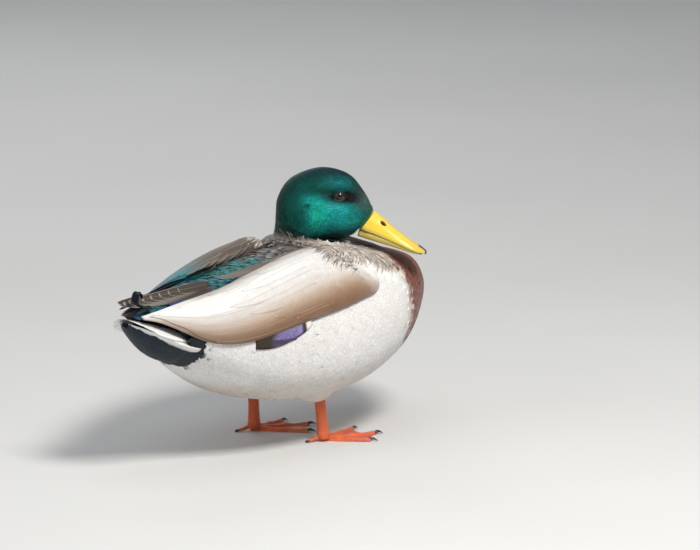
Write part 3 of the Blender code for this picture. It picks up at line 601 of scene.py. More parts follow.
def skin_map(row, turn):
    """A place on the unwrapped skin: round the bird from left to right, tail to bill upwards."""
    turned = np.mod(turn / (2 * math.pi) + 0.5, 1.0)
    return inset(stacked(turned, row / BILL_ROOT))


def feather_piece(name, vanes, colour, material, slot, cells=False, unwrap=skin_map, **values):
    """One object holding many vanes, with their colours, their own maps and the coat's map, and
    with values by point, by feather or one for all.

    vane holds (across, along) from 0 to 1, barb the same in millimetres.  On OFBake a tuft is a
    small patch at its root's place on the unwrapped skin; with cells, large quills take a cell
    each instead.
    """
    points = vanes["points"]
    count, stations, columns = points.shape[:3]
    loops, starts = vane_faces(stations, columns)
    size = stations * columns
    corner = (np.arange(count)[:, None] * size + loops).ravel()
    first = (np.arange(count)[:, None] * len(loops) + starts).ravel()
    across = np.broadcast_to(vanes["across"], points.shape[:3])
    along = np.broadcast_to(vanes["share"][:, None], points.shape[:3])
    vane = stacked(across / 2 + 0.5, along)
    barb = stacked(across * vanes["width"][:, None, None] / 2,
                   along * vanes["length"][:, None, None])
    if cells:
        side = math.ceil(math.sqrt(count))
        number = np.arange(count)
        low = stacked(number % side, number // side)[:, None, None] / side
        laid = low + (0.06 + 0.88 * vane) / side
    else:
        low = unwrap(vanes["rows"][:, 0, columns // 2], vanes["turns"][:, 0, columns // 2])
        laid = low[:, None, None] + PATCH * (vane - 0.5)
    uvs = {"vane": vane, "barb": barb, "OFBake": laid}
    uvs = {key: places.reshape(-1, 2)[corner] for key, places in uvs.items()}
    colour = np.broadcast_to(colour, points.shape)
    kept = {}
    for key, value in values.items():
        value = np.asarray(value, float)
        value = value[:, None, None] if value.ndim == 1 else value
        kept[key] = np.broadcast_to(value, points.shape[:3])
    new_object(name, points.reshape(-1, 3), corner, first, material, uvs=uvs, values=kept,
               colours={"plumage": colour}, slot=slot, sharp=50)


def spaced(points, gap, rng):
    """Picks places at least gap apart: again and again, each place that outranks all its
    neighbours within the gap stays and takes those neighbours out."""
    cell = np.floor(points / gap).astype(np.int64) + 1000
    weight = np.array([1, 4096, 4096 ** 2])
    key = cell @ weight
    order = np.argsort(key, kind="stable")
    ranked = key[order]
    ones, others = [], []
    everyone = np.arange(len(points))
    steps = stacked(*np.meshgrid(*[[-1, 0, 1]] * 3, indexing="ij"))
    for offset in steps.reshape(-1, 3) @ weight:
        first = np.searchsorted(ranked, key + offset, "left")
        past = np.searchsorted(ranked, key + offset, "right")
        for k in range(int((past - first).max())):
            has = first + k < past
            one, other = everyone[has], order[(first + k)[has]]
            near = np.linalg.norm(points[one] - points[other], axis=1) < gap
            near &= one < other
            ones.append(one[near])
            others.append(other[near])
    ones, others = np.concatenate(ones), np.concatenate(others)
    rank = rng.permutation(len(points))
    open_, kept = np.ones(len(points), bool), np.zeros(len(points), bool)
    while open_.any():
        best = open_.copy()
        rival = open_[ones] & open_[others]
        one_wins = rank[ones] < rank[others]
        best[others[rival & one_wins]] = False
        best[ones[rival & ~one_wins]] = False
        kept |= best
        open_ &= ~best
        open_[others[best[ones]]] = False
        open_[ones[best[others]]] = False
    return kept


def sites(surface, rows, turns, gap, rng, keep=None):
    """Roots for feathers over a patch of a surface, evenly about gap apart."""
    stretch, _, spread, _, _ = chart(surface, rng.uniform(*rows, 4000), rng.uniform(*turns, 4000))
    density = stretch * spread
    most = np.quantile(density, 0.995)
    area = density.mean() * (rows[1] - rows[0]) * (turns[1] - turns[0])
    count = int(CROWD * area / gap ** 2 * most / density.mean())
    row, turn = rng.uniform(*rows, count), rng.uniform(*turns, count)
    stretch, _, spread, _, _ = chart(surface, row, turn)
    chosen = rng.random(count) * most < stretch * spread
    row, turn = row[chosen], turn[chosen]
    if keep is not None:
        wanted = keep(row, turn)
        row, turn = row[wanted], turn[wanted]
    chosen = spaced(surface(row, turn), gap, rng)
    return row[chosen], turn[chosen]


# ---- shader nodes ----

def node(tree, kind, **settings):
    """A new node with its settings."""
    made = tree.nodes.new(kind)
    for key, value in settings.items():
        setattr(made, key, value)
    return made


def is_output(value):
    """True for a node's output, false for a number or a colour."""
    return isinstance(value, bpy.types.NodeSocket)


def feed(socket, value):
    """Links an output to a socket, or sets the socket's own value."""
    if is_output(value):
        socket.id_data.links.new(value, socket)
    else:
        socket.default_value = value


def math_step(operation, *values):
    """One step of arithmetic on outputs or numbers, in the tree of the first output."""
    tree = next(value.id_data for value in values if is_output(value))
    made = node(tree, "ShaderNodeMath", operation=operation)
    for socket, value in zip(made.inputs, values):
        feed(socket, value)
    return made.outputs[0]


def add(one, other):
    """A sum of outputs or numbers."""
    return math_step("ADD", one, other)


def less(one, other):
    """One output or number less another."""
    return math_step("SUBTRACT", one, other)


def times(one, other):
    """A product of outputs or numbers."""
    return math_step("MULTIPLY", one, other)


def split(vector):
    """The three parts of a vector."""
    made = node(vector.id_data, "ShaderNodeSeparateXYZ")
    feed(made.inputs[0], vector)
    return made.outputs


def blend(share, one, other):
    """From one colour to the other by a share."""
    made = node(share.id_data, "ShaderNodeMix", data_type="RGBA", blend_type="MIX")
    feed(made.inputs[0], share)
    feed(made.inputs[6], one)
    feed(made.inputs[7], other)
    return made.outputs[2]


def noise(vector, scale, detail, roughness=0.5):
    """Smooth noise from 0 to 1, scale lumps to a unit of the vector."""
    made = node(vector.id_data, "ShaderNodeTexNoise")
    feed(made.inputs["Vector"], vector)
    for key, value in (("Scale", scale), ("Detail", detail), ("Roughness", roughness)):
        made.inputs[key].default_value = value
    return made.outputs["Fac"]


def span(value, low, high, to_low=0.0, to_high=1.0):
    """A smooth step from to_low where the value is low to to_high where it is high."""
    made = node(value.id_data, "ShaderNodeMapRange", interpolation_type="SMOOTHSTEP")
    feed(made.inputs["Value"], value)
    for key, number in zip(("From Min", "From Max", "To Min", "To Max"),
                           (low, high, to_low, to_high)):
        feed(made.inputs[key], number)
    return made.outputs["Result"]


def new_group(name, vectors, numbers, outputs):
    """An empty shader node group: vectors in by name, numbers in with their first values, and
    numbers out."""
    tree = bpy.data.node_groups.new(name, "ShaderNodeTree")
    for key in vectors:
        tree.interface.new_socket(name=key, in_out="INPUT", socket_type="NodeSocketVector")
    for key, value in numbers.items():
        socket = tree.interface.new_socket(name=key, in_out="INPUT", socket_type="NodeSocketFloat")
        socket.default_value = value
    for key in outputs:
        tree.interface.new_socket(name=key, in_out="OUTPUT", socket_type="NodeSocketFloat")
    return tree, node(tree, "NodeGroupInput").outputs, node(tree, "NodeGroupOutput").inputs


def use_group(tree, group, **values):
    """Places a group, its sockets fed or set by name, with _ for each space."""
    made = node(tree, "ShaderNodeGroup", node_tree=group)
    for key, value in values.items():
        feed(made.inputs[key.replace("_", " ")], value)
    return made.outputs


def barb_group():
    """Fine streaks that slant from the shaft towards the tip, as barbs lie in a vane.

    Streaks are noise over (along - slant |across|) / pitch, drawn out along each barb; the shaft
    is a narrow line down the middle.
    """
    tree, given, result = new_group(
        "barbs", ["Barb"], {"Pitch": 0.9, "Slant": 1.1, "Depth": 0.3, "Shaft Width": 0.25},
        ["Shade", "Shaft", "Height"])
    parts = split(given["Barb"])
    across = math_step("ABSOLUTE", parts[0])
    lie = less(parts[1], times(across, given["Slant"]))
    drawn_out = node(tree, "ShaderNodeCombineXYZ")
    feed(drawn_out.inputs[0], math_step("DIVIDE", lie, given["Pitch"]))
    feed(drawn_out.inputs[1], times(parts[0], 0.25))
    streak = span(noise(drawn_out.outputs[0], 1.0, 2.0, 0.6), 0.3, 0.7)
    feed(result["Shade"], less(1.0, times(less(1.0, streak), given["Depth"])))
    width = given["Shaft Width"]
    feed(result["Shaft"], span(across, width, times(width, 0.3)))
    feed(result["Height"], streak)
    return tree


def pencil_group():
    """Vermiculation: fine wavy cross lines, sin of (along / pitch + noise), broken by noise."""
    tree, given, result = new_group("pencilled_lines", ["Barb", "Place"],
                                    {"Pitch": 1.3, "Wobble": 0.9}, ["Line"])
    parts = split(given["Barb"])
    wander = noise(given["Place"], 620.0, 2.0)
    along = math_step("DIVIDE", parts[1], given["Pitch"])
    along = add(along, times(wander, given["Wobble"]))
    line = span(math_step("SINE", times(along, 2 * math.pi)), -0.2, 0.9)
    broken = span(noise(given["Place"], 900.0, 1.0), 0.35, 0.6)
    feed(result["Line"], times(line, broken))
    return tree


def rim_group():
    """Where a vane's rim is: 1 along its tip and sides, 0 inside."""
    tree, given, result = new_group("feather_rim", ["Vane"], {"Tip": 0.82, "Side": 0.75}, ["Rim"])
    parts = split(given["Vane"])
    away = math_step("ABSOLUTE", less(times(parts[0], 2.0), 1.0))
    tip = span(parts[1], given["Tip"], 1.0)
    side = times(span(away, given["Side"], 1.0), span(parts[1], 0.35, 0.7))
    feed(result["Rim"], math_step("MAXIMUM", tip, side))
    return tree


def mottle_group():
    """Soft blotches and fine grain: two noises of one place, as a factor round 1."""
    tree, given, result = new_group("mottle", ["Place"], {"Amount": 0.3}, ["Factor", "Grain"])
    broad = noise(given["Place"], 90.0, 3.0)
    fine = noise(given["Place"], 900.0, 2.0)
    both = add(times(broad, 1.2), times(fine, 0.8))
    feed(result["Factor"], add(1.0, times(less(both, 1.0), given["Amount"])))
    feed(result["Grain"], fine)
    return tree


def new_material(name, roughness, **constants):
    """A material with a Principled shader; constants are set on the shader's own sockets."""
    material = bpy.data.materials.new(name)
    material.use_nodes = True
    tree = material.node_tree
    shader = tree.nodes["Principled BSDF"]
    shader.inputs["Roughness"].default_value = roughness
    for key, value in constants.items():
        shader.inputs[key.replace("_", " ")].default_value = value
    place = node(tree, "ShaderNodeTexCoord").outputs["Object"]
    return material, tree, shader, place


def scaled(colour, factor):
    """A colour times a factor."""
    made = node(colour.id_data, "ShaderNodeVectorMath", operation="SCALE")
    feed(made.inputs[0], colour)
    feed(made.inputs["Scale"], factor)
    return made.outputs[0]


def attribute(tree, name, output="Fac"):
    """The mesh's own value by name."""
    return node(tree, "ShaderNodeAttribute", attribute_name=name).outputs[output]


def plumage(tree, factor):
    """The mesh's own colour times a factor."""
    return scaled(attribute(tree, "plumage", "Color"), factor)


def uv(tree, name):
    """The mesh's own map by name."""
    return node(tree, "ShaderNodeUVMap", uv_map=name).outputs["UV"]


def bump(shader, height, distance, strength=0.5):
    """Raises the shader's normal by a height from 0 to 1, distance metres high."""
    made = node(shader.id_data, "ShaderNodeBump")
    made.inputs["Strength"].default_value = strength
    made.inputs["Distance"].default_value = distance
    feed(made.inputs["Height"], height)
    feed(shader.inputs["Normal"], made.outputs["Normal"])


LINE_TONE, QUILL_LINE_TONE = (0.16, 0.145, 0.135, 1), (0.17, 0.15, 0.14, 1)
RIM_TONE, QUILL_RIM_TONE = (0.55, 0.43, 0.38, 1), (0.60, 0.54, 0.48, 1)
SHAFT_TONE = (0.34, 0.27, 0.21, 1)
IRIS_DARK, IRIS_BROWN = (0.018, 0.006, 0.004, 1), (0.055, 0.020, 0.010, 1)
PUPIL_TONE, EYE_RIM_TONE = (0.002, 0.002, 0.003, 1), (0.010, 0.006, 0.005, 1)
FLOOR_TONES = (0.60, 0.60, 0.595, 1), (0.66, 0.66, 0.655, 1)


def overlaid(base, mask, share, tone):
    """The base with a tone laid over it where a mask is, times the feathers' own share."""
    return blend(times(mask, attribute(base.id_data, share)), base, tone)


def soft_plumage():
    """Breast, flank, belly and back: plain colour, cross lines, barbs and a paler rim."""
    material, tree, shader, place = new_material("soft_plumage", 0.72, Sheen_Weight=0.12,
                                                 Sheen_Roughness=0.5, Specular_IOR_Level=0.2)
    barb, vane = uv(tree, "barb"), uv(tree, "vane")
    barbs = use_group(tree, BARBS, Barb=barb, Pitch=0.55, Depth=0.22)
    lines = use_group(tree, PENCIL, Barb=barb, Place=place, Pitch=1.25)
    rim = use_group(tree, RIM, Vane=vane, Tip=0.72)
    base = plumage(tree, barbs["Shade"])
    base = overlaid(base, lines["Line"], "pencil", LINE_TONE)
    base = overlaid(base, rim["Rim"], "fringe", RIM_TONE)
    feed(shader.inputs["Base Color"], base)
    bump(shader, barbs["Height"], 0.00008)
    return material


def glossy_plumage():
    """Head, rump and tail coverts: dark feathers whose barbs mirror a metallic colour."""
    material, tree, shader, place = new_material("glossy_plumage", 0.38, Specular_IOR_Level=0.35,
                                                 Sheen_Weight=0.05)
    barb = uv(tree, "barb")
    barbs = use_group(tree, BARBS, Barb=barb, Pitch=0.45, Depth=0.55, Shaft_Width=0.1)
    mottle = use_group(tree, MOTTLE, Place=place, Amount=0.5)
    feed(shader.inputs["Base Color"], scaled(plumage(tree, barbs["Shade"]), mottle["Factor"]))
    gloss = attribute(tree, "gloss")
    feed(shader.inputs["Metallic"], gloss)
    rough = less(0.62, times(gloss, 0.27))
    feed(shader.inputs["Roughness"], add(rough, times(barbs["Shade"], 0.06)))
    bump(shader, barbs["Height"], 0.00015, 0.8)
    return material


def quill_plumage():
    """Wing and tail feathers: smooth vanes with a shaft line, barbs and a soft rim."""
    material, tree, shader, place = new_material("quill_plumage", 0.6, Specular_IOR_Level=0.35,
                                                 Sheen_Weight=0.15, Sheen_Roughness=0.4)
    barb, vane = uv(tree, "barb"), uv(tree, "vane")
    barbs = use_group(tree, BARBS, Barb=barb, Pitch=0.6, Depth=0.14, Slant=1.6,
                      Shaft_Width=0.45)
    lines = use_group(tree, PENCIL, Barb=barb, Place=place, Pitch=1.2)
    rim = use_group(tree, RIM, Vane=vane, Tip=0.965, Side=0.86)
    base = plumage(tree, barbs["Shade"])
    base = overlaid(base, lines["Line"], "pencil", QUILL_LINE_TONE)
    base = overlaid(base, barbs["Shaft"], "shaft", SHAFT_TONE)
    base = overlaid(base, rim["Rim"], "fringe", QUILL_RIM_TONE)
    feed(shader.inputs["Base Color"], base)
    bump(shader, barbs["Height"], 0.0001)
    return material


def mottled(name, roughness, amount, height, strength=0.5, dim=1.0, vary=0.0, **constants):
    """The piece's own colour, times dim, with faint mottling and a grain height metres high;
    vary is how much the roughness changes with the grain."""
    material, tree, shader, place = new_material(name, roughness, **constants)
    mottle = use_group(tree, MOTTLE, Place=place, Amount=amount)
    base = plumage(tree, mottle["Factor"])
    feed(shader.inputs["Base Color"], scaled(base, dim) if dim < 1 else base)
    if vary:
        step = times(mottle["Grain"], vary)
        feed(shader.inputs["Roughness"], add(roughness - vary / 2, step))
    bump(shader, mottle["Grain"], height, strength)
    return material


def horn(name, roughness, height, coat=0.0, amount=0.18):
    """Bill, claws and lids: a hard clear coat over a colour worked out along the piece."""
    return mottled(name, roughness, amount, height, vary=0.16, Coat_Weight=coat,
                   Coat_Roughness=0.25, Specular_IOR_Level=0.45)


def leg_skin():
    """Scaly orange skin: small many-sided scales over the plates that are modelled."""
    material, tree, shader, place = new_material("leg_skin", 0.42, Specular_IOR_Level=0.5,
                                                 Subsurface_Weight=0.12, Subsurface_Scale=0.002)
    mottle = use_group(tree, MOTTLE, Place=place, Amount=0.55)
    cells = node(tree, "ShaderNodeTexVoronoi", feature="DISTANCE_TO_EDGE")
    feed(cells.inputs["Vector"], place)
    cells.inputs["Scale"].default_value = 950.0
    groove = span(cells.outputs["Distance"], 0.0, 0.16)
    base = scaled(plumage(tree, mottle["Factor"]), add(0.72, times(groove, 0.28)))
    feed(shader.inputs["Base Color"], base)
    feed(shader.inputs["Roughness"], add(0.34, times(mottle["Grain"], 0.2)))
    bump(shader, groove, 0.00025, 0.8)
    return material


def eye_ball():
    """Dark brown iris round a black pupil, under a wet clear coat.

    polar is the angle from the eye's axis over a right angle.
    """
    material, tree, shader, place = new_material("eye_ball", 0.12, Coat_Weight=0.5,
                                                 Coat_Roughness=0.03, Specular_IOR_Level=0.35)
    polar = attribute(tree, "polar")
    streak = noise(place, 1500.0, 3.0)
    iris = blend(span(streak, 0.3, 0.7), IRIS_DARK, IRIS_BROWN)
    base = blend(span(polar, 0.24, 0.30), PUPIL_TONE, iris)
    base = blend(span(polar, 0.52, 0.62), base, EYE_RIM_TONE)
    feed(shader.inputs["Base Color"], base)
    feed(shader.inputs["Roughness"], span(streak, 0.2, 0.9, 0.08, 0.2))
    return material


def floor_finish():
    """A plain pale floor, faintly uneven."""
    material, _, shader, place = new_material("studio_floor", 0.9, Specular_IOR_Level=0.1)
    feed(shader.inputs["Base Color"], blend(noise(place, 3.0, 2.0), *FLOOR_TONES))
    return material


BARBS, PENCIL, RIM, MOTTLE = barb_group(), pencil_group(), rim_group(), mottle_group()
SOFT, GLOSSY, QUILL = soft_plumage(), glossy_plumage(), quill_plumage()
DOWN = mottled("down_and_skin", 0.85, 0.3, 0.0003, dim=0.9, Specular_IOR_Level=0.1)
CURL_GLOSS = mottled("curl_gloss", 0.5, 0.5, 0.0002, 0.6, Specular_IOR_Level=0.2)
BILL_HORN = horn("bill_horn", 0.36, 0.00006, coat=0.25)
DARK_HORN = horn("dark_horn", 0.34, 0.00005, coat=0.3)
LID_SKIN = horn("lid_skin", 0.5, 0.0001, amount=0.4)
LEG_SKIN, EYE_WET = leg_skin(), eye_ball()


# ---- markings ----

BREAST_EDGE = [(0, 12.1), (34, 11.9), (54, 11.5), (65, 10.8), (85, 10.8), (92, 10.3), (96, 9.9),
               (119, 8.7), (150, 8.2), (180, 8.1)]     # angle from the back, section number
UNDERTAIL_EDGE = [(0, 2.0), (95, 2.0), (117, 2.05), (159, 2.1), (180, 2.05)]
RUMP_EDGE = [(0, 5.3), (15, 5.2), (40, 4.6), (180, 4.0)]
CHEEK = [   # right and up from the eye as the profile is seen, reach each way, colour, strength
    # painted sheen: the broad teal and emerald patches where light catches the cheek
    ((-3.0, -13.0), (15.0, 11.0), TEAL, 0.95), ((8.0, -18.0), (13.0, 10.0), TEAL, 0.8),
    ((-16.0, -16.0), (9.0, 13.0), EMERALD, 0.95), ((-22.0, -4.0), (8.0, 6.0), EMERALD, 0.75),
    # painted highlights: the brightest cyan and emerald glints on the cheek
    ((-4.0, -7.0), (6.0, 2.6), rgb(0.08, 0.62, 0.60), 0.7),
    ((-20.0, -14.0), (3.6, 6.0), rgb(0.02, 0.62, 0.40), 0.6),
    # painted sheen: the blue-teal over the crown
    ((4.0, 9.0), (13.0, 5.5), rgb(0.008, 0.20, 0.22), 0.85),
    ((19.0, -3.0), (7.5, 8.0), LORE_GREY, 0.85), ((24.0, -9.0), (5.0, 5.0), LORE_GREY, 0.6),
    ((-25.5, -7.0), (2.4, 2.0), DEEP_GREEN * 0.4, 0.9),
    ((-16.0, 4.5), (14.0, 3.6), DEEP_GREEN * 0.6, 0.9),
    # painted shade under the throat
    ((-2.0, -32.0), (9.0, 4.0), DEEP_GREEN * 0.5, 0.8),
    # painted shade: the black almond round the eye
    ((2.0, 0.0), (11.5, 4.4), PITCH, 1.6), ((8.5, -1.6), (7.0, 3.4), PITCH, 1.3),
]


def level_with_bill(x, z):
    """Places forward of and above the eye, with the bill's drop taken out."""
    cosine, sine = math.cos(BILL_DROP), math.sin(BILL_DROP)
    return x * cosine + z * sine, -x * sine + z * cosine


def profile_place(own):
    """How far forward of and above the eye a place in the head's frame is, as its profile is
    seen."""
    return level_with_bill(own[..., 0] - EYE[0], own[..., 2] - EYE[2])


def oval(right, up, middle, reach):
    """A soft oval: e to -(a^2 + b^2), with a and b from its middle over its reach each way."""
    return np.exp(-((right - middle[0]) / reach[0]) ** 2 - ((up - middle[1]) / reach[1]) ** 2)


def head_colour(points):
    """Deep green, darker on the crown, with the cheek's patches of painted sheen, highlights and
    shade laid over it as soft ovals.
    """
    right, up = profile_place(to_head(points))
    patches = [(patch, oval(right, up, middle, reach) * strength)
               for middle, reach, patch, strength in CHEEK]
    return over(DEEP_GREEN, (NAVY, ease(10, 22, up) * 0.8), *patches)


def head_gloss(points):
    """How metallic the head is: least round the eye and at the lores."""
    right, up = profile_place(to_head(points))
    eye_round = oval(right, up, (3, -0.8), (12.0, 3.4))
    lores = oval(right, up, (22, -5), (8.0, 10.0))
    return np.clip(0.86 - 0.7 * eye_round - 0.45 * lores, 0, 1)


def round_back(turn):
    """Degrees round from the back, -180 to 180 with the left side above 0."""
    return np.degrees((turn + math.pi) % (2 * math.pi) - math.pi)


def body_colour(row, turn, points, jitter=0.0):
    """The coat's colour at a place on the trunk or neck, by its markings' edges, with painted shade
    under the belly, towards the throat and under the bill.
    """
    angle = np.abs(round_back(turn))
    height = points[..., 2]
    belly = ease(75, 45, height)
    rump = row - read(RUMP_EDGE, angle) + jitter
    breast = row - read(BREAST_EDGE, angle) + jitter
    foot = 13.08 + 0.80 * ease(60, 150, angle)      # where the green of the neck ends
    ring = ease(foot - 0.12, foot - 0.08, row) * ease(foot + 0.02, foot - 0.02, row)
    # painted shade: the breast darkens upwards towards the throat
    throat = ease(95, 150, height) * 0.8 * ease(12.0, 13.0, row)
    patch = ease(3.9, 3.4, row) * ease(84, 90, angle) * ease(150, 140, angle)
    buff = ease(-0.7, -0.15, breast) * ease(140, 110, angle) * ease(7.6, 9.0, row)
    return over(
        WHITE,
        # greyer and tan towards the bottom: partly painted shade under the belly, partly the
        # belly's own duller, stained colour
        (PALE * (1.0, 0.985, 0.96), belly * 0.8),
        (TAN, belly * ease(5.5, 3.0, row) * 0.7),
        (GREY_BROWN * 0.8, ease(38, 22, angle) * ease(9.2, 7.5, row)),      # the back
        (GREY_BROWN * 1.1, ease(8.2, 10.0, row) * ease(58, 36, angle)),     # the mantle
        (WHITE * 1.03, patch),
        (BLACK, ease(0.12, -0.12, row - read(UNDERTAIL_EDGE, angle) + jitter * 0.5)),
        (BLACK * 1.3, ease(0.2, -0.2, rump) * ease(62, 52, angle)),
        (CREAM * 0.85, buff * 0.55),
        # painted shade darkens the chestnut towards the throat
        (mix(CHESTNUT, SHADED_CHESTNUT, throat), ease(-0.3, 0.3, breast)),
        (CREAM * 0.8, ease(11.2, 12.0, row) * ease(86, 66, angle)),         # the ruff
        # painted shade at the front of the neck, under the bill and chin
        (SHADED_CHESTNUT, ease(12.7, 13.0, row) * ease(100, 120, angle) * 0.7),
        (WHITE * 0.9, ring * ease(70, 90, angle)),
        (DEEP_GREEN * 0.6, ease(foot - 0.02, foot + 0.02, row)))


def is_chestnut(row, turn):
    """True in front of the breast's edge."""
    return row > read(BREAST_EDGE, np.abs(round_back(turn)))


def under_wing(row, turn, margin=5.0):
    """True where a folded wing covers the coat, margin degrees inside its edges."""
    angle = round_back(turn)
    top = wing_edge(row, 1) + margin + LEFT_WING_OPEN * (angle > 0)
    low = wing_edge(row, 2) - margin
    return (np.abs(angle) > top) & (np.abs(angle) < low) & (row < 9.4)


# ---- skin ----

SKIN_AROUND = 180
COAT_DEPTH = [(2, 2.0), (4, 2.2), (9, 2.2), (12, 2.2), (13, 2.2), (14, 1.4), (16, 0.95),
              (18.5, 0.8), (20, 0.5)]
LID_HALF = (4.5, 3.4)           # the eye's opening, forward and up
FAR = 9.0                       # eye_distance on the head's other side
SKIN_ROWS = 150                 # rings along the trunk, and as many along the head


def eye_distance(own, side):
    """How far out from the eye's opening a point of the head is: 1 on the opening's edge."""
    level, rise = profile_place(own)
    away = (np.abs(level) / LID_HALF[0]) ** 1.7 + (np.abs(rise) / LID_HALF[1]) ** 2.0
    return np.where(own[..., 1] * side > 5, np.sqrt(away), FAR)


def shape_lids(points):
    """Draws the skin in behind the eyeball and lifts it as lids round the opening."""
    own = to_head(points)
    for side in (-1, 1):
        away = eye_distance(own, side)
        x, z = own[..., 0] - EYE[0], own[..., 2] - EYE[2]
        ball = np.sqrt(np.clip((EYE_RADIUS + 0.45) ** 2 - x ** 2 - z ** 2, 0, None))
        cover = EYE[1] + ball
        lid = ease(2.3, 1.35, away) * ease(0.8, 1.1, away)
        sunk = ease(1.12, 0.85, away)
        y = np.abs(own[..., 1])
        shaped = y + (np.maximum(cover, y) - y) * lid
        shaped = shaped + (EYE[1] - 1.0 - shaped) * sunk
        own[..., 1] = np.where(away < FAR, np.sign(own[..., 1]) * shaped, own[..., 1])
    return from_head(own)


def make_skin():
    """One closed skin from the tail's root to the bill's, inside the coat by its depth."""
    rows = [np.linspace(2.02, COLLAR, SKIN_ROWS), np.linspace(COLLAR, NAPE, 14)[1:],
            np.linspace(NAPE, BILL_ROOT, SKIN_ROWS)[1:]]
    row, turn = together(np.concatenate(rows)[:, None], circle(SKIN_AROUND))
    outward = chart(figure, row, turn)[4]
    surface = figure(row, turn)
    points = surface - outward * read(COAT_DEPTH, row)[..., None]
    on_head = row[..., 0] > NAPE + 0.5
    points[on_head] = shape_lids(points[on_head])
    colour = body_colour(row, turn, surface)
    colour[on_head] = head_colour(surface[on_head]) * 0.75
    tube("skin", points, DOWN, flip=True, colour=colour, slot="flank_feathers",
         replaces=("trunk", "rump", "neck", "head", "thigh_left", "thigh_right"))


# ---- the coat ----

def middle_of(vanes):
    """Row, angle and place of each vane three quarters along it, on its shaft."""
    stations, columns = vanes["points"].shape[1:3]
    k, c = int(round(0.75 * (stations - 1))), columns // 2
    return vanes["rows"][:, k, c], vanes["turns"][:, k, c], vanes["points"][:, k, c]


def point_colour(vanes, rng, shift, tone):
    """The coat's plain colour at every point of every vane, its markings shifted and its tone
    changed vane by vane."""
    count = len(vanes["points"])
    shifts = rng.normal(0, shift, count)[:, None, None]
    colour = body_colour(vanes["rows"], vanes["turns"], vanes["points"], shifts)
    return colour * tones(rng, tone, count, 1, 1, 1)


def head_coat():
    """Small glossy feathers, finest at the face, flowing back from the bill round the eye."""
    rng = np.random.default_rng(11)
    left, middle, right = HEAD_LAG - math.pi, HEAD_LAG, HEAD_LAG + math.pi
    parts = (   # name, rows, angles, gap, length, width
        ("face_right", (16.3, 19.97), (left, middle), 0.80, 3.8, 0.95),
        ("face_left", (16.3, 19.97), (middle, right), 0.80, 3.8, 0.95),
        ("nape", (13.93, 16.4), (left, right), 1.05, 5.2, 1.3))
    for name, rows, turns, gap, length, width in parts:
        row, turn = sites(figure, rows, turns, gap, rng)
        own = to_head(figure(row, turn))
        clear = np.minimum(eye_distance(own, -1), eye_distance(own, 1))
        row, turn, clear = row[clear > 1.4], turn[clear > 1.4], clear[clear > 1.4]
        count = len(row)
        near_eye = ease(3.2, 1.4, clear)
        near_bill = ease(19.2, 19.9, row)
        long = length * rng.uniform(0.7, 1.3, count) * (1 - 0.45 * near_eye) * (1 - 0.4 * near_bill)
        wide = width * rng.uniform(*SIZES, count) * (1 - 0.3 * near_eye)
        tip = (0.04 + 0.12 * rng.random(count) ** 2) * (1 - 0.6 * near_eye)
        vanes = lay_vanes(figure, row, turn, long, wide, rng.normal(0, 0.16, count), stations=4,
                          columns=3, heights=(-0.4, tip), rise=2.8, crown=0.12, curl=-0.06,
                          rng=rng)
        at = middle_of(vanes)[2]
        colour = head_colour(at) * tones(rng, 0.17, count, 1)
        bluer = rng.normal(0, 0.09, (count, 1)) * np.array([[0.0, -1.0, 1.0]])
        colour = np.clip(colour * (1 + bluer), 0, 1)
        colour = colour[:, None, None] * (0.85 + 0.15 * vanes["share"][:, None, None])
        feather_piece(f"{name}_feathers", vanes, colour, GLOSSY, "head_feathers",
                      gloss=head_gloss(at))


def neck_coat():
    """The neck's lower feathers: chestnut, a narrow white ring and the first dark green ones."""
    rng = np.random.default_rng(12)
    row, turn = sites(figure, (12.6, 13.98), (-math.pi, math.pi), 1.9, rng)
    count = len(row)
    swell = 0.4 + 1.8 * ease(60, 105, np.abs(np.degrees(turn)))
    vanes = lay_vanes(figure, row, turn, 11.0, rng.uniform(3.6, 5.0, count),
                      rng.normal(0, 0.12, count), columns=3, fray=0.1, rise=3.0, rng=rng,
                      heights=(-1.2, 0.1 + swell * np.sin((row - 12.98) * math.pi).clip(0)))
    colour = point_colour(vanes, rng, 0.05, 0.12)
    feather_piece("neck_feathers", vanes, colour, SOFT, "breast_feathers",
                  pencil=0.0, fringe=0.05)


def breast_coat():
    """Chestnut breast: short broad feathers with paler rims, darker towards the throat as painted
    shade.
    """
    rng = np.random.default_rng(13)
    row, turn = sites(figure, (7.9, 12.9), (-math.pi, math.pi), 2.6, rng,
                      keep=lambda r, t: is_chestnut(r + 0.2, t))
    count = len(row)
    vanes = lay_vanes(figure, row, turn, *varied(rng, count, 12, 5.2, 0.13), rise=3.4, rng=rng,
                      heights=(-1.6, rng.uniform(-0.05, 0.1, count)), fray=0.08, crown=0.04,
                      curl=-0.12)
    colour = point_colour(vanes, rng, 0.16, 0.10)
    low = ease(140, 85, middle_of(vanes)[2][:, 2])
    feather_piece("breast_feathers", vanes, colour, SOFT, "breast_feathers",
                  pencil=0.0, fringe=0.05 + 0.3 * low)


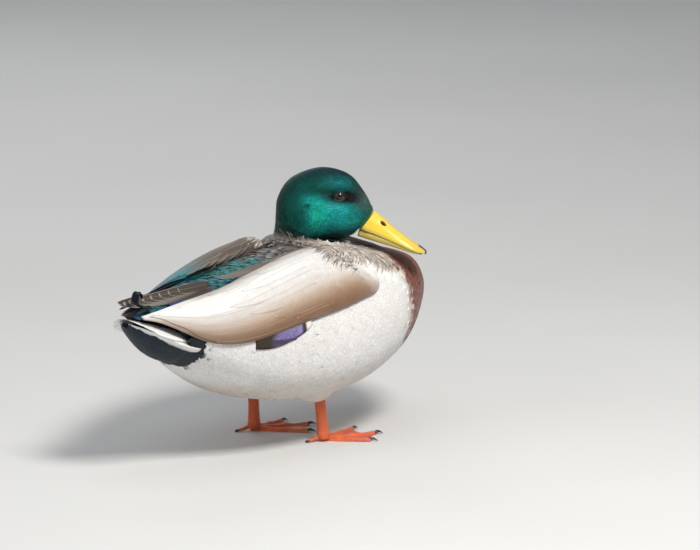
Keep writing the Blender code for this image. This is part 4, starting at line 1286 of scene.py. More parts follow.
def flank_coat():
    """White-grey flanks and belly: soft broad feathers, finely cross-lined, ragged at the tips."""
    rng = np.random.default_rng(14)
    for name, turns in (("right", (-math.pi, 0.0)), ("left", (0.0, math.pi))):
        row, turn = sites(figure, (2.2, 12.2), turns, 3.2, rng,
                          keep=lambda r, t: ~is_chestnut(r - 0.25, t) & ~under_wing(r, t)
                          & (np.abs(t) > math.radians(40)))
        count = len(row)
        rear = ease(4.5, 2.5, row)
        below = np.abs(np.degrees(turn)) - wing_edge(row, 2)
        puff = ease(3.2, 4.0, row) * ease(6.4, 5.4, row) * ease(2, 6, below) * ease(22, 12, below)
        vanes = lay_vanes(figure, row, turn, *varied(rng, count, 16 + 3 * rear, 7.0, 0.10),
                          stations=7, fray=0.05, crown=0.03, curl=-0.12, rise=3.2,
                          heights=(-1.5, rng.uniform(-0.05, 0.05, count) + 0.35 * puff), rng=rng)
        colour = point_colour(vanes, rng, 0.15, 0.02)
        at_row, _, at = middle_of(vanes)
        side = ease(38, 75, at[:, 2]) * ease(10.8, 8.5, at_row)
        feather_piece(f"flank_feathers_{name}", vanes, colour, SOFT, "flank_feathers",
                      pencil=0.12 + 0.3 * side, fringe=0.0)


def back_coat():
    """Grey-brown back and mantle between the wings, vermiculated, with dark centres showing."""
    rng = np.random.default_rng(15)
    row, turn = sites(figure, (5.0, 12.9), (-1.1, 1.1), 3.4, rng,
                      keep=lambda r, t: ~under_wing(r, t, 9.0) & ~is_chestnut(r, t)
                      & (np.abs(t) < math.radians(62)))
    count = len(row)
    vanes = lay_vanes(figure, row, turn, 12 * rng.uniform(0.8, 1.25, count),
                      6.4 * rng.uniform(*SIZES, count), rng.normal(0, 0.18, count),
                      heights=(-2.4, rng.uniform(0.0, 0.4, count)), fray=0.12, curl=-0.15,
                      rng=rng)
    at_row, at_turn, at = middle_of(vanes)
    colour = body_colour(at_row, at_turn, at, rng.normal(0, 0.15, count))
    dark = (rng.random(count) < 0.35) * ease(10.0, 7.5, at_row)
    colour = mix(colour, NAVY, dark * 0.9) * tones(rng, 0.25, count, 1)
    feather_piece("back_feathers", vanes, colour[:, None, None], SOFT, "flank_feathers",
                  pencil=0.55, fringe=0.12)


def rump_coat():
    """Black rump, its feathers' ends glossed teal and blue."""
    rng = np.random.default_rng(16)
    row, turn = sites(figure, (1.9, 5.7), (-1.15, 1.15), 3.3, rng,
                      keep=lambda r, t: ~under_wing(r, t, 9.0))
    count = len(row)
    vanes = lay_vanes(figure, row, turn, *varied(rng, count, 13.0, 8.5, 0.14), fray=0.06,
                      heights=(-2.6, rng.uniform(0.0, 0.35, count)), crown=0.1, rng=rng)
    gloss_vanes(vanes, "rump_feathers", rng, glow=1.0, blue=ease(4.3, 3.0, row)[:, None])


def gloss_vanes(vanes, name, rng, glow, blue, unwrap=skin_map):
    """Black vanes whose ends turn teal, green or blue, each its own shade; blue is the share of
    blue ones."""
    count = len(vanes["points"])
    pick = rng.random(count)[:, None]
    sheen = np.where(pick < blue, COBALT * 1.6, np.where(pick < 0.85, TEAL, EMERALD * 0.6))
    shine = glow * rng.uniform(0.45, 1.0, count)
    share = vanes["share"][None, :, None]
    across = np.abs(vanes["across"])[None, None]
    lit = shine[:, None, None] * ease(0.35, 0.8, share) * (1 - 0.5 * across)
    colour = mix(BLACK * 1.2, sheen[:, None, None], lit)
    feather_piece(name, vanes, colour, GLOSSY, "rump_feathers",
                  gloss=np.clip(0.35 + 0.5 * lit, 0, 1), unwrap=unwrap)


def vent_coat():
    """Black under-tail coverts where the belly ends, over the skin's last rows."""
    rng = np.random.default_rng(17)
    row, turn = sites(figure, (2.0, 2.25), (math.radians(93), math.radians(267)), 1.8, rng)
    count = len(row)
    vanes = lay_vanes(figure, row, turn, *varied(rng, count, 12, 4.6, 0.10), fray=0.05,
                      heights=(-1.2, rng.uniform(0.15, 0.35, count)), rise=3.0, rng=rng)
    gloss_vanes(vanes, "vent_feathers", rng, glow=0.08, blue=0.8)


def mantle_tufts():
    """Loose hair-like plumes where the mantle is pushed up round the base of the head: some
    stand up over the neck, some fall back, and darker tufts fan down over the right shoulder.

    A plume is dark where sin(21 turn + 9 row) + sin(13 turn - 15 row) is low, so that the dark
    ones gather in tufts.
    """
    rng = np.random.default_rng(18)
    shoulder = wing_surface(-1), wing_surface(1)
    turns = (-1.35, 1.35)
    lots = (    # surface, rows, angles, gap, length, heights of the tips, lie, spread, hand, dark
        (figure, (12.4, 13.0), turns, 0.8, 7.0, (0.3, 1.6), math.pi, 0.3, 1, 0.1),
        (figure, (11.6, 13.1), turns, 0.75, 15.0, (0.2, 1.2), 0.0, 0.22, 1, 0.35),
        (figure, (9.6, 12.0), (-0.9, 0.9), 1.1, 15.0, (0.2, 0.8), 0.0, 0.2, 1, 0.5),
        (shoulder[0], (9.6, 11.8), (0.0, 0.38), 0.55, 17.0, (0.3, 0.8), 0.35, 0.2, -1, 0.9),
        (shoulder[1], (9.6, 11.8), (0.0, 0.38), 0.55, 17.0, (0.3, 0.8), -0.35, 0.2, 1, 0.9),
    )
    for k, (surface, rows, turns, gap, length, tips, lie, loose, hand, dark) in enumerate(lots):
        row, turn = sites(surface, rows, turns, gap, rng)
        count = len(row)
        vanes = lay_vanes(surface, row, turn, length * rng.uniform(0.5, 1.3, count),
                          rng.uniform(0.5, 1.2, count), lie + rng.normal(0, loose, count),
                          heights=(-0.5, rng.uniform(*tips, count)), hand=hand, stations=7,
                          columns=3, rise=1.4, outline=HAIR, crown=0.15, rng=rng)
        clump = np.sin(21 * turn + 9 * row) + np.sin(13 * turn - 15 * row)
        gathered = ease(0.4, -1.2, clump + rng.normal(0, 0.5, count)) * dark * 2
        colour = mix(mix(CREAM * 1.15, WHITE, rng.uniform(0, 1, count)), DRAB * 1.6,
                     np.clip(gathered, 0, 0.9))
        colour = colour * tones(rng, 0.12, count, 1)
        feather_piece(f"mantle_plumes_{k}", vanes, colour[:, None, None], SOFT,
                      "breast_feathers", cells=surface is not figure, pencil=0.0, fringe=0.0)


# ---- wings ----

WING_ROWS = len(WING) - 1
SCAPULARS = [   # place across, section it starts and ends over, width, how high it lies
    (0.86, 6.6, 2.3, 14, -0.30), (0.75, 6.6, 1.5, 15, -0.22), (0.64, 6.5, 0.85, 16, -0.14),
    (0.53, 6.4, 0.5, 16, -0.06), (0.42, 6.4, 0.62, 14, 0.0), (0.32, 6.4, 1.5, 13, 0.04),
    (0.23, 6.4, 2.6, 11, 0.08), (0.14, 6.5, 3.5, 10, 0.12), (0.06, 6.5, 4.4, 9, 0.16),
    (0.80, 7.4, 4.5, 14, 0.10), (0.69, 7.4, 3.9, 15, 0.14), (0.58, 7.4, 3.3, 15, 0.18),
    (0.47, 7.4, 2.9, 14, 0.22), (0.36, 7.4, 3.4, 13, 0.26), (0.26, 7.5, 4.2, 12, 0.30),
    (0.16, 7.5, 5.0, 11, 0.34), (0.07, 7.5, 5.6, 10, 0.36), (0.90, 7.2, 4.9, 11, 0.06),
]
EDGE_SCAPULARS = [  # section they start over, height at the root and at the tip, length
    (7.8, 7.5, 0.9, 22), (7.3, 8.5, 0.9, 24), (6.8, 8.5, 0.9, 25), (6.3, 8.0, 0.9, 25),
    (5.8, 7.5, 1.2, 24), (5.3, 7.0, 2.5, 24), (4.9, 7.0, 4.0, 27), (4.6, 7.0, 5.0, 30),
    (4.3, 6.5, 5.5, 34),
]


def wing_colour(side, row, across, rng):
    """Silver-white over the shoulder, greyer and warm brown towards the lower edge, partly the
    scapulars' own brown and partly painted shade, greyer at the upper; the left one darkened to
    drab on its upper half as painted shade, with a blue-green gloss over the rear of that."""
    share = (1 - np.cos(math.pi * np.clip(across, 0, 1))) / 2
    fade = np.interp(row, (0, 3, 6, 8.5, 10.5, 12), (0.12, 0.7, 1.0, 1.0, 0.35, 0.0))
    top = ease(0.26, 0.03, share) * ease(2.5, 4.5, row) * ease(11.5, 9.5, row)
    # greyer and warm brown towards the lower edge: partly the scapulars' own chestnut-brown, partly
    # painted shade under the wing's rounded lower side
    colour = over(WHITE * 0.90, (SILVER * 1.1, 0.2 + 0.45 * fade * ease(0.3, 0.7, share)),
                  (TAN, ease(0.46, 0.88, share) * fade * 0.9),
                  (WARM_BROWN, ease(0.64, 0.95, share) * fade), (GREY_BROWN * 1.3, top * 0.85))
    if side > 0:
        gloss = mix(mix(NAVY, COBALT, 0.42), mix(NAVY, TEAL, 0.26), ease(3.4, 5.6, row))
        patch = ease(6.8, 5.4, row) * ease(0.3, 1.2, row) * ease(0.50, 0.32, share)
        # painted shade: the far, left wing darkened to drab on its upper half
        colour = over(colour, (DRAB * 0.85, ease(0.75, 0.25, share) * 0.95), (gloss, patch * 0.92))
    return colour * tones(rng, 0.03, *row.shape, 1)


def wing_row(number):
    """The wing's row that lies over a section of the trunk."""
    return np.interp(number, [key[0] for key in WING[::-1]], range(len(WING)))


def run_length(surface, row, end, across):
    """Distance over a surface from one row to another at the same place across."""
    steps, across = together(row + (end - row) * np.linspace(0, 1, 60)[:, None], across)
    return np.linalg.norm(np.diff(surface(steps, across), axis=0), axis=-1).sum(0)


def wing_piece(side, name, vanes, rng, pencil, shaft, fringe, tone):
    """Wing feathers coloured by where each of their points lies on the folded wing, with darker
    sides; tone is how much they differ."""
    count = len(vanes["points"])
    colour = wing_colour(side, vanes["rows"], vanes["turns"], rng)
    colour = colour * tones(rng, tone, count, 1, 1, 1)
    rim = ease(0.72, 1.0, np.abs(vanes["across"])) * ease(0.3, 0.8, vanes["share"])[:, None]
    colour = mix(colour, GREY_BROWN * 0.8, rim * 0.35 * fringe)
    feather_piece(name, vanes, colour, QUILL, "wing_feathers",
                  cells=True, pencil=pencil, fringe=fringe, shaft=shaft)


def make_wing(side, name):
    """A folded wing: a smooth base, long pointed scapulars and tertials that lie along it and
    end one short of the next, and small soft scapulars over the shoulder."""
    rng = np.random.default_rng(20 + side)
    surface = wing_surface(side)
    grid = spread_over(WING_ROWS, 0, 60, 0.0, 1.0, 28)
    shell(f"wing_base_{name}", wing_surface(side, 0.9)(*grid), trunk_under(side, *grid), DOWN,
          colour=wing_colour(side, *grid, rng), flip=side < 0, slot="wing_feathers",
          replaces=(f"wing_{name}",))
    place, start, end, width, lift = np.array(SCAPULARS).T
    row, stop = wing_row(start), wing_row(end)
    vanes = lay_vanes(surface, row, place, run_length(surface, row, stop, place), width, 0.0,
                      hand=side, stations=26, columns=7, heights=(lift - 1.0, lift), rise=6.0,
                      crown=0.01, outline=POINTED, tilt=0.12, curl=-0.1, rng=rng)
    wing_piece(side, f"long_scapulars_{name}", vanes, rng, 0.05, 0.5, 0.3, 0.07)
    row, place = sites(surface, (wing_row(5.9), 11.7), (0.03, 0.97), 3.6, rng)
    count = len(row)
    lift = 0.14 + 0.25 * (row - 6) / 7 + rng.uniform(-0.04, 0.04, count)
    vanes = lay_vanes(surface, row, place, 17 * rng.uniform(0.85, 1.15, count),
                      7.5 * rng.uniform(0.85, 1.15, count), rng.normal(0, 0.08, count),
                      hand=side, stations=8, heights=(lift - 1.0, lift), rise=3.0,
                      crown=0.02, curl=-0.1, rng=rng)
    wing_piece(side, f"shoulder_feathers_{name}", vanes, rng, 0.12, 0.0, 0.05, 0.03)


def edge_scapulars():
    """Pointed grey-brown feathers that leave each wing's upper edge and lie over the back."""
    rng = np.random.default_rng(25)
    for name, side in SIDES:
        start, high, low, long = np.array(EDGE_SCAPULARS).T
        edge = wing_edge(start, 1) + LEFT_WING_OPEN * (side > 0)
        turn = np.radians(edge + 3.0) * side
        vanes = lay_vanes(figure, start, turn, long, 8.5, -0.24 * side, heights=(high, low),
                          stations=12, rise=0.8, crown=0.08, outline=POINTED, rng=rng)
        count = len(start)
        colour = mix(GREY_BROWN * 0.55, DRAB * 0.8, rng.random(count))
        feather_piece(f"edge_scapulars_{name}", vanes, colour[:, None, None], QUILL,
                      "wing_feathers", cells=True, pencil=0.5, fringe=0.3, shaft=0.3)


def trunk_under(side, row, across):
    """The trunk's surface under the same place of a wing."""
    return trunk_place(*wing_keys(side, row, across)[:2])


def speculum_colour(number, depth):
    """Violet-blue, brown-black at its rear and lower edge, with a dark and then a white end."""
    return over(VIOLET,
                (VIOLET * 0.5 + 0.30, 0.6 * ease(4.1, 4.5, number) * ease(0.9, 0.3, depth)),
                (DRAB * 0.55, ease(4.05, 3.80, number + 0.30 * (depth - 0.5))),
                (DRAB * 0.5, ease(0.86, 1.0, depth) * 0.8),
                (DRAB * 0.4, ease(4.62, 4.68, number)), (WHITE, ease(4.76, 4.80, number)))


def make_speculum(side, name):
    """Violet-blue secondaries showing below the wing: long vanes stacked downwards that run back
    along its edge, each with a black and then a white end."""
    rng = np.random.default_rng(30 + side)
    numbers = np.linspace(3.36, 4.94, 24)
    low = wing_edge(numbers, 2)
    depth = 9.0 * np.sqrt(np.clip(np.sin(np.linspace(0.22, 0.95, 24) * math.pi), 0, 1))
    share = np.linspace(0, 1, 6)
    angle = np.radians(low[:, None] - 4 + (depth[:, None] + 4.0) * share) * side
    row = np.repeat(numbers[:, None], 6, 1)
    outward = chart(trunk_place, row, angle)[4]
    skin = trunk_place(row, angle)
    base = skin + outward * (LAYER_GAP + 1.8 * (1 - 0.6 * share ** 2))[None, :, None]
    colour = speculum_colour(row, share + 0 * row)
    shell(f"speculum_base_{name}", base, skin + outward * 0.3, DOWN, colour=colour, flip=side > 0,
          slot="speculum", replaces=(f"speculum_{name}",))
    count = 6
    step = np.arange(count)
    place = 5.1 - 0.1 * step
    start = np.radians(wing_edge(place, 2) - 3.0 + 2.0 * step) * side
    vanes = lay_vanes(trunk_place, place, start, 40 - 1.2 * step, 5.6, 0.12 * side,
                      stations=18, heights=(-1.5, 3.4 - 0.22 * step), rise=5.0, crown=0.04,
                      outline=LONG_VANE, tilt=-0.2 * side, rng=rng)
    depth = (step[:, None, None] + vanes["across"] / 2 + 0 * vanes["rows"]) / (count - 1)
    colour = speculum_colour(vanes["rows"], depth)
    colour = colour * tones(rng, 0.10, count, 1, 1, 1)
    feather_piece(f"speculum_feathers_{name}", vanes, colour, GLOSSY, "speculum",
                  cells=True, gloss=0.2)


def make_primaries(side, name):
    """Closed primaries: grey-brown blades lying on one another, each ending short of the one
    below it, so that their pale rims cross the wing's tip as chevrons."""
    rng = np.random.default_rng(40 + side)
    surface = blade_surface(name)
    count = 9
    tip_row = np.linspace(0.0, 0.66, count)
    start = np.full(count, 0.995)
    share = np.linspace(0.75, -0.25, count)
    vanes = lay_vanes(surface, start, share, run_length(surface, start, tip_row, share), 9.4, 0.0,
                      hand=side, stations=18, heights=(0.2, np.linspace(0.3, 1.9, count)),
                      rise=2.0, crown=0.1, outline=LONG_VANE, rng=rng)
    colour = mix(DRAB * 0.35, DRAB * 0.6, ease(0.0, 0.9, np.abs(vanes["across"])) * 0.5)
    feather_piece(f"primary_feathers_{name}", vanes, colour, QUILL, "flight_feathers",
                  cells=True, pencil=0.0, fringe=0.5, shaft=0.25)
    grid = spread_over(0.995, 0.02, 40, -0.8, 0.8, 7)
    middle = surface(*grid)
    outward = side * chart(surface, *grid)[4]
    lens = 0.45 * (1 - (grid[1] / 0.85) ** 2)[..., None]
    shell(f"primary_base_{name}", middle + outward * lens, middle - outward * (lens + 0.3), DOWN,
          colour=np.broadcast_to(DRAB * 0.6, middle.shape), flip=side < 0,
          slot="flight_feathers", replaces=(f"primaries_{name}",))


# ---- tail ----

def make_tail():
    """Tail feathers in a fan, white at the sides and grey in the middle, over a thin base."""
    rng = np.random.default_rng(50)
    rows, shares = spread_over(1, 0.30, 20, -0.92, 0.92, 21)
    top = tail_surface(rows, shares)
    under = top - np.array([0, 0, 1.0]) * (1.2 + 3.4 * rows)[..., None]
    centre = mix(WHITE * 1.05, SILVER * 0.8, ease(0.4, 0.1, np.abs(shares)))
    shell("tail_base", top - np.array([0, 0, 0.5]), under, DOWN, colour=centre,
          slot="tail_feathers", replaces=("tail",))
    share = -1 + (2 * np.arange(TAIL_FEATHERS) + 1) / TAIL_FEATHERS
    hind = TAIL_TIP + TAIL_SWEEP[0] * np.abs(share) ** TAIL_SWEEP[1]
    count = len(share)
    length = (TAIL_ROOT - hind) * 1.01
    vanes = lay_vanes(tail_surface, np.full(count, 1.0), share * 0.92, length, 9.5, 0.0,
                      stations=14, columns=7, heights=(-0.6, 0.55 - 0.9 * np.abs(share)),
                      rise=1.0, crown=0.10, outline=LONG_VANE, fray=0.01, rng=rng)
    off = np.abs(vanes["turns"])
    colour = mix(WHITE * 1.05, SILVER * 0.55, ease(0.36, 0.08, off) * 0.9)
    grey = ease(0.6, 0.1, np.abs(vanes["across"])) * ease(0.8, 0.3, off)
    colour = mix(colour, GREY_BROWN, grey * 0.35)
    feather_piece("tail_fan_feathers", vanes, colour, QUILL, "tail_feathers",
                  cells=True, pencil=0.0, fringe=0.3, shaft=0.3)


def make_coverts(name, keys, upper, seed):
    """Black coverts over or under the tail: a smooth base and rows of glossy feathers."""
    rng = np.random.default_rng(seed)
    surface = covert_surface(keys, upper)
    hand = 1 if upper else -1
    rows, shares = spread_over(1, 0, 26, -1, 1, 25)
    reach = 0.55 if upper else 1.0      # the upper ones leave the outer tail feathers bare
    top = surface(rows, shares * (reach + (1 - reach) * rows ** 4))
    roof = tail_roof(top[..., 0], top[..., 1])
    flat = top.copy()
    flat[..., 2] = roof + 0.3 if upper else roof - 2.6
    sunk = top.copy()
    sunk[..., 2] = flat[..., 2] + (top[..., 2] - flat[..., 2]) * 0.9 + hand * 0.2
    side = 1.0 if upper else 0.84       # above it the under ones leave the white feathers bare
    colour = mix(BLACK, WHITE, ease(side - 0.02, side + 0.02, np.abs(shares)) * (not upper))
    shell(f"{name}_base", sunk, flat, DOWN, colour=colour, flip=not upper, slot="rump_feathers",
          replaces=(name,))
    row, share = sites(surface, (0.12, 1.0), (-0.97, 0.97), 2.3, rng,
                       keep=lambda r, t: np.abs(t) < side * (reach + (1 - reach) * r ** 4))
    count = len(row)
    vanes = lay_vanes(surface, row, share, *varied(rng, count, 13.0, 4.6, 0.08), hand=hand,
                      heights=(-1.0, rng.uniform(0.0, 0.15, count)), fray=0.05, rise=3.0, rng=rng)
    gloss_vanes(vanes, f"{name}_feathers", rng, glow=0.6 if upper else 0.11,
                blue=0.35 if upper else 0.75,
                unwrap=lambda r, t: inset(stacked(t / 2 + 0.5, r)))


def make_curl(name):
    """A curled tail feather: a lens-shaped ribbon that rises off the tail and hooks forward.

    Its path runs back, then round an arc whose radius shrinks to CURL_TIGHTEST of its first.
    """
    sweep = np.radians(np.linspace(0, CURL_SWEEP, CURL_STEPS))
    radius = CURL_RADIUS * np.linspace(1.0, CURL_TIGHTEST, CURL_STEPS)
    root_x, root_y, root_z = CURL_ROOTS[name]
    x = root_x - CURL_RUN * np.minimum(sweep / 1.4, 1) - radius * np.sin(sweep) * 0.55
    z = root_z + radius * (1 - np.cos(sweep))
    for _ in range(6):          # rounds off the corner where the run back ends
        x[1:-1] = (x[:-2] + 2 * x[1:-1] + x[2:]) / 4
    path = stacked(x, np.full(CURL_STEPS, root_y), z)
    swell = np.sin(np.linspace(0.2, 0.985, CURL_STEPS) * np.pi)
    width = CURL_WIDTH * 0.75 * (0.3 + 0.7 * swell)
    across = np.array([0.0, 1.0, 0.0])
    face = np.cross(unit_length(np.gradient(path, axis=0)), across)[:, None]
    turn = circle(16)
    ring = path[:, None] + (width[:, None] * np.cos(turn))[..., None] * across \
        + 0.35 * np.sin(turn)[None, :, None] * face \
        + (0.5 * np.cos(turn) ** 2)[None, :, None] * face
    share = np.linspace(0, 1, CURL_STEPS)[:, None] + 0 * turn
    colour = mix(PITCH, COBALT * 0.03, ease(0.2, 0.6, share) * ease(1.0, 0.7, share))
    tube(f"curled_feather_{name}", ring, CURL_GLOSS, colour=colour, slot="rump_feathers",
         replaces=(f"tail_curl_{name}",))


# ---- bill and eyes ----

BILL_SQUARE, UPPER_LOW, LOWER_LOW = 0.75, 0.35, -0.2
PLUG = np.array([0.9, 0.0, 0.0])        # how far the bill stands ahead of its keys
NOSTRIL, NOSTRIL_REACH = (41.2, -8.8), (3.3, 1.55)      # forward and up, in the head's frame
NOSTRIL_DROP = math.radians(21)
NOSTRIL_DEPTH, NOSTRIL_LIP = 1.5, 0.28
COMB_PITCH, COMB_DEPTH = 1.1, 0.12      # the fine notches along the upper bill's lower edge
EDGE_ROLL, EDGE_DROP = 0.3, 0.9
NAIL_START, NAIL_HALF, NAIL_LIFT = 73.0, 4.4, 0.45
# a paler yellow for the painted highlight along the top of the bill
RIDGE_HIGHLIGHT_YELLOW = YELLOW * np.array([1.0, 1.12, 2.2])
LID_GREEN = rgb(0.05, 0.075, 0.06)


def bill_grid(rows, count, around, low):
    """Places over one half of the bill, count sections of around points, and their angles."""
    number, turn = together(np.linspace(0, len(rows) - 1, count)[:, None], circle(around))
    return section(smooth(rows, number), turn, low, BILL_SQUARE) + PLUG, turn


def nostril_distance(x, z):
    """How far out from the nostril's slanting oval a place is: 1 on its edge."""
    x, z = x - NOSTRIL[0], z - NOSTRIL[1]
    level = x * math.cos(NOSTRIL_DROP) - z * math.sin(NOSTRIL_DROP)
    rise = x * math.sin(NOSTRIL_DROP) + z * math.cos(NOSTRIL_DROP)
    return np.sqrt((level / NOSTRIL_REACH[0]) ** 2 + (rise / NOSTRIL_REACH[1]) ** 2)


def make_upper_bill():
    """The upper bill, with a rimmed nostril each side, a rolled lower edge with fine comb
    notches, and the dark nail over its tip.

    Each is a push along the line to the section's middle: the nostril in, its lip, the edge and
    the nail out.  high is 0 at the lower edge's angle and 1 at the top's.
    """
    points, turn = bill_grid(UPPER_BILL, 150, 96, UPPER_LOW)
    x, z = points[..., 0], points[..., 2]
    away = nostril_distance(x, z)
    hole = ease(1.0, 0.6, away)
    lip = np.exp(-((away - 1.25) / 0.28) ** 2)
    inward = points.mean(axis=1, keepdims=True) - points
    inward /= np.maximum(np.linalg.norm(inward, axis=-1, keepdims=True), 1e-6)
    points = points + inward * (NOSTRIL_DEPTH * hole - NOSTRIL_LIP * lip)[..., None]
    high = (np.cos(turn) + 1) / 2
    edge = np.exp(-((high - 0.2) / 0.10) ** 2)
    notch = edge * np.cos(x * 2 * math.pi / COMB_PITCH) * ease(74, 66, x) * ease(26, 32, x)
    points = points - inward * (EDGE_ROLL * edge + COMB_DEPTH * notch)[..., None]
    points[..., 2] -= EDGE_DROP * edge * ease(25, 30, x) * ease(79, 72, x)
    beside = ease(NAIL_HALF + 0.5, NAIL_HALF - 0.5, np.abs(points[..., 1]))
    nail = np.maximum(ease(NAIL_START, NAIL_START + 1.6, x) * beside, ease(79.6, 80.6, x))
    points = points - inward * (NAIL_LIFT * nail)[..., None]
    # olive at the lower edge, yellow above and paler along the top: the olive edge partly the
    # bill's own colour and partly painted shade, the paler top a painted highlight; darker olive at
    # the root and lighter olive towards the tip
    colour = over(OLIVE, (YELLOW, ease(0.10, 0.42, high)),
                  (RIDGE_HIGHLIGHT_YELLOW, ease(0.6, 0.95, high) * 0.45),
                  (OLIVE * 1.35, ease(60, 76, x) * ease(0.9, 0.3, high) * 0.5),
                  # painted shade: the nostril's hollow painted black
                  (SLATE * 1.4, nail), (PITCH, ease(0.95, 0.7, away)),
                  (OLIVE * 0.6, ease(28.0, 25.0, x) * 0.35))
    tube("upper_bill", from_head(points), BILL_HORN, flip=True, colour=colour, slot="bill",
         replaces=("bill_upper", "bill_nail"))


def make_lower_bill():
    """The lower bill, dull olive and yellower along its sides, raised to close the mouth."""
    points, turn = bill_grid(LOWER_BILL, 90, 48, LOWER_LOW)
    points[..., 2] += 2.1 * ease(-0.2, 0.8, np.cos(turn))
    points[..., 1] *= 1 + 0.14 * ease(25, 34, points[..., 0])
    side = ease(0.4, 1.0, np.abs(np.sin(turn)))
    colour = mix(OLIVE * 0.8, mix(OLIVE, YELLOW, 0.45) * 0.85, side)
    colour = mix(colour, SLATE, ease(75.5, 77.5, points[..., 0]))
    tube("lower_bill", from_head(points), BILL_HORN, flip=True, colour=colour, slot="bill",
         replaces=("bill_lower",))


def make_eye(side, name):
    """An eyeball, a sphere whose front bulges by 0.05 exp(-(polar / 0.6)^2)."""
    polar, turn = together(np.linspace(0.02, math.pi - 0.02, 40)[:, None], circle(48))
    bulge = 1 + 0.05 * np.exp(-(polar / 0.6) ** 2)
    ball = stacked(np.sin(polar) * np.cos(turn), np.cos(polar), np.sin(polar) * np.sin(turn))
    ball = ball * bulge[..., None] * EYE_RADIUS
    ball[..., 1] *= side
    tube(f"eyeball_{name}", from_head(eye_middle(side) + ball), EYE_WET, flip=side < 0,
         slot="eye", values={"polar": polar / (math.pi / 2)}, replaces=(f"eye_{name}",))


def eye_middle(side):
    """The eyeball's middle in the head's frame."""
    return np.array([EYE[0], side * EYE[1], EYE[2]])


def make_lid(side, name):
    """The lid's rim: a ring round the eye's opening, a little thicker above, just off the ball."""
    turn = circle(72)
    level = LID_HALF[0] * np.sign(np.cos(turn)) * np.abs(np.cos(turn)) ** (2 / 1.7) * 1.06
    rise = LID_HALF[1] * np.sin(turn) * 1.02
    cosine, sine = math.cos(BILL_DROP), math.sin(BILL_DROP)
    x, z = level * cosine - rise * sine, level * sine + rise * cosine
    out = np.sqrt(np.clip((EYE_RADIUS + 0.25) ** 2 - x ** 2 - z ** 2, 1.0, None))
    path = stacked(x, side * out, z) + eye_middle(side)
    outward = unit_length(path - eye_middle(side))
    along = unit_length(np.roll(path, -1, 0) - np.roll(path, 1, 0))
    aside = np.cross(along, outward)[:, None]
    girth = (0.42 + 0.16 * (rise > 0))[:, None]
    around = circle(12)
    ring = path[:, None] + (girth * np.cos(around))[..., None] * outward[:, None] \
        + (girth * 1.3 * np.sin(around))[..., None] * aside
    lower = ease(-1.0, -3.0, rise)[:, None] + 0 * around
    torus(f"eyelid_{name}", from_head(ring), LID_SKIN, mix(PITCH, LID_GREEN, lower * 0.5))


def torus(name, rings, material, colour):
    """A closed ring through rings of points, the last joined to the first."""
    count, around = rings.shape[:2]
    index = np.arange(count * around).reshape(count, around)
    quads = corners(np.pad(index, (0, 1), "wrap"))
    laid = corners(stacked(*spread_over(0, 1, count + 1, 0, 1, around + 1)))
    new_object(name, rings.reshape(-1, 3), quads.ravel(), np.arange(len(quads)) * 4, material,
               uvs={"OFBake": laid.reshape(-1, 2)}, colours={"plumage": colour}, slot="eye")


# ---- legs and feet ----

PLATE_STEP, TOE_PLATE_STEP = 3.0, 1.9
# a paler peach for the painted highlights on the shank's plates
SHANK_ORANGE, PLATE_HIGHLIGHT = ORANGE * (0.97, 0.86, 0.86), PEACH * (1, 0.75, 0.65)
UP = np.array([0.0, 0.0, 1.0])


def level_unit(angle):
    """The level direction at an angle from straight ahead."""
    return np.array([math.cos(angle), math.sin(angle), 0.0])


def make_shank(name):
    """The bare shank: an oval tube whose front carries overlapping plates, its back fine scales.

    Plates step out by a saw-tooth of height, PLATE_STEP apart; it swells at the ankle.
    """
    share, turn = together(np.linspace(0, 1, 150)[:, None], circle(48))
    top, foot = np.array([*HIP[name], SHANK_TOP]), np.array([*ANKLE[name], SHANK_FOOT - 1.6])
    centre = top + (foot - top) * share[..., None]
    height = (SHANK_TOP - SHANK_FOOT) * share
    front = ease(0.2, 0.75, np.cos(turn - math.radians(FOOT_HEADING[name])))
    saw = (height / PLATE_STEP) % 1.0
    plate = front * (0.30 * (1 - saw) ** 1.5 - 0.12)
    knobs = (1 - front) * 0.10 * np.sin(height * 2.6 + np.round(turn * 5)) * np.cos(turn * 15)
    knuckle = 0.5 * np.exp(-((share - 0.93) / 0.05) ** 2)
    reach = read(SHANK_RADII, share) + plate + knobs + knuckle
    ring = stacked(np.cos(turn), SHANK_FLATNESS * np.sin(turn), 0 * turn)
    # painted highlights: each plate's standing edge at the front paler peach
    colour = mix(SHANK_ORANGE, PLATE_HIGHLIGHT, front * (1 - saw) * 0.6)
    tube(f"leg_{name}", centre + reach[..., None] * ring, LEG_SKIN, flip=True, colour=colour,
         slot="leg", replaces=(f"shank_{name}",))


def toe_reach(angle):
    """How far the web reaches at an angle: toe tips, with a shallow notch between toes."""
    reach = np.interp(angle, list(TOE_ANGLES.values()), list(TOE_LENGTHS.values()))
    phase = np.abs(np.sin(np.pi * (angle + TOE_SPREAD) / TOE_SPREAD))
    return reach * (1 - WEB_NOTCH * phase ** 0.8)


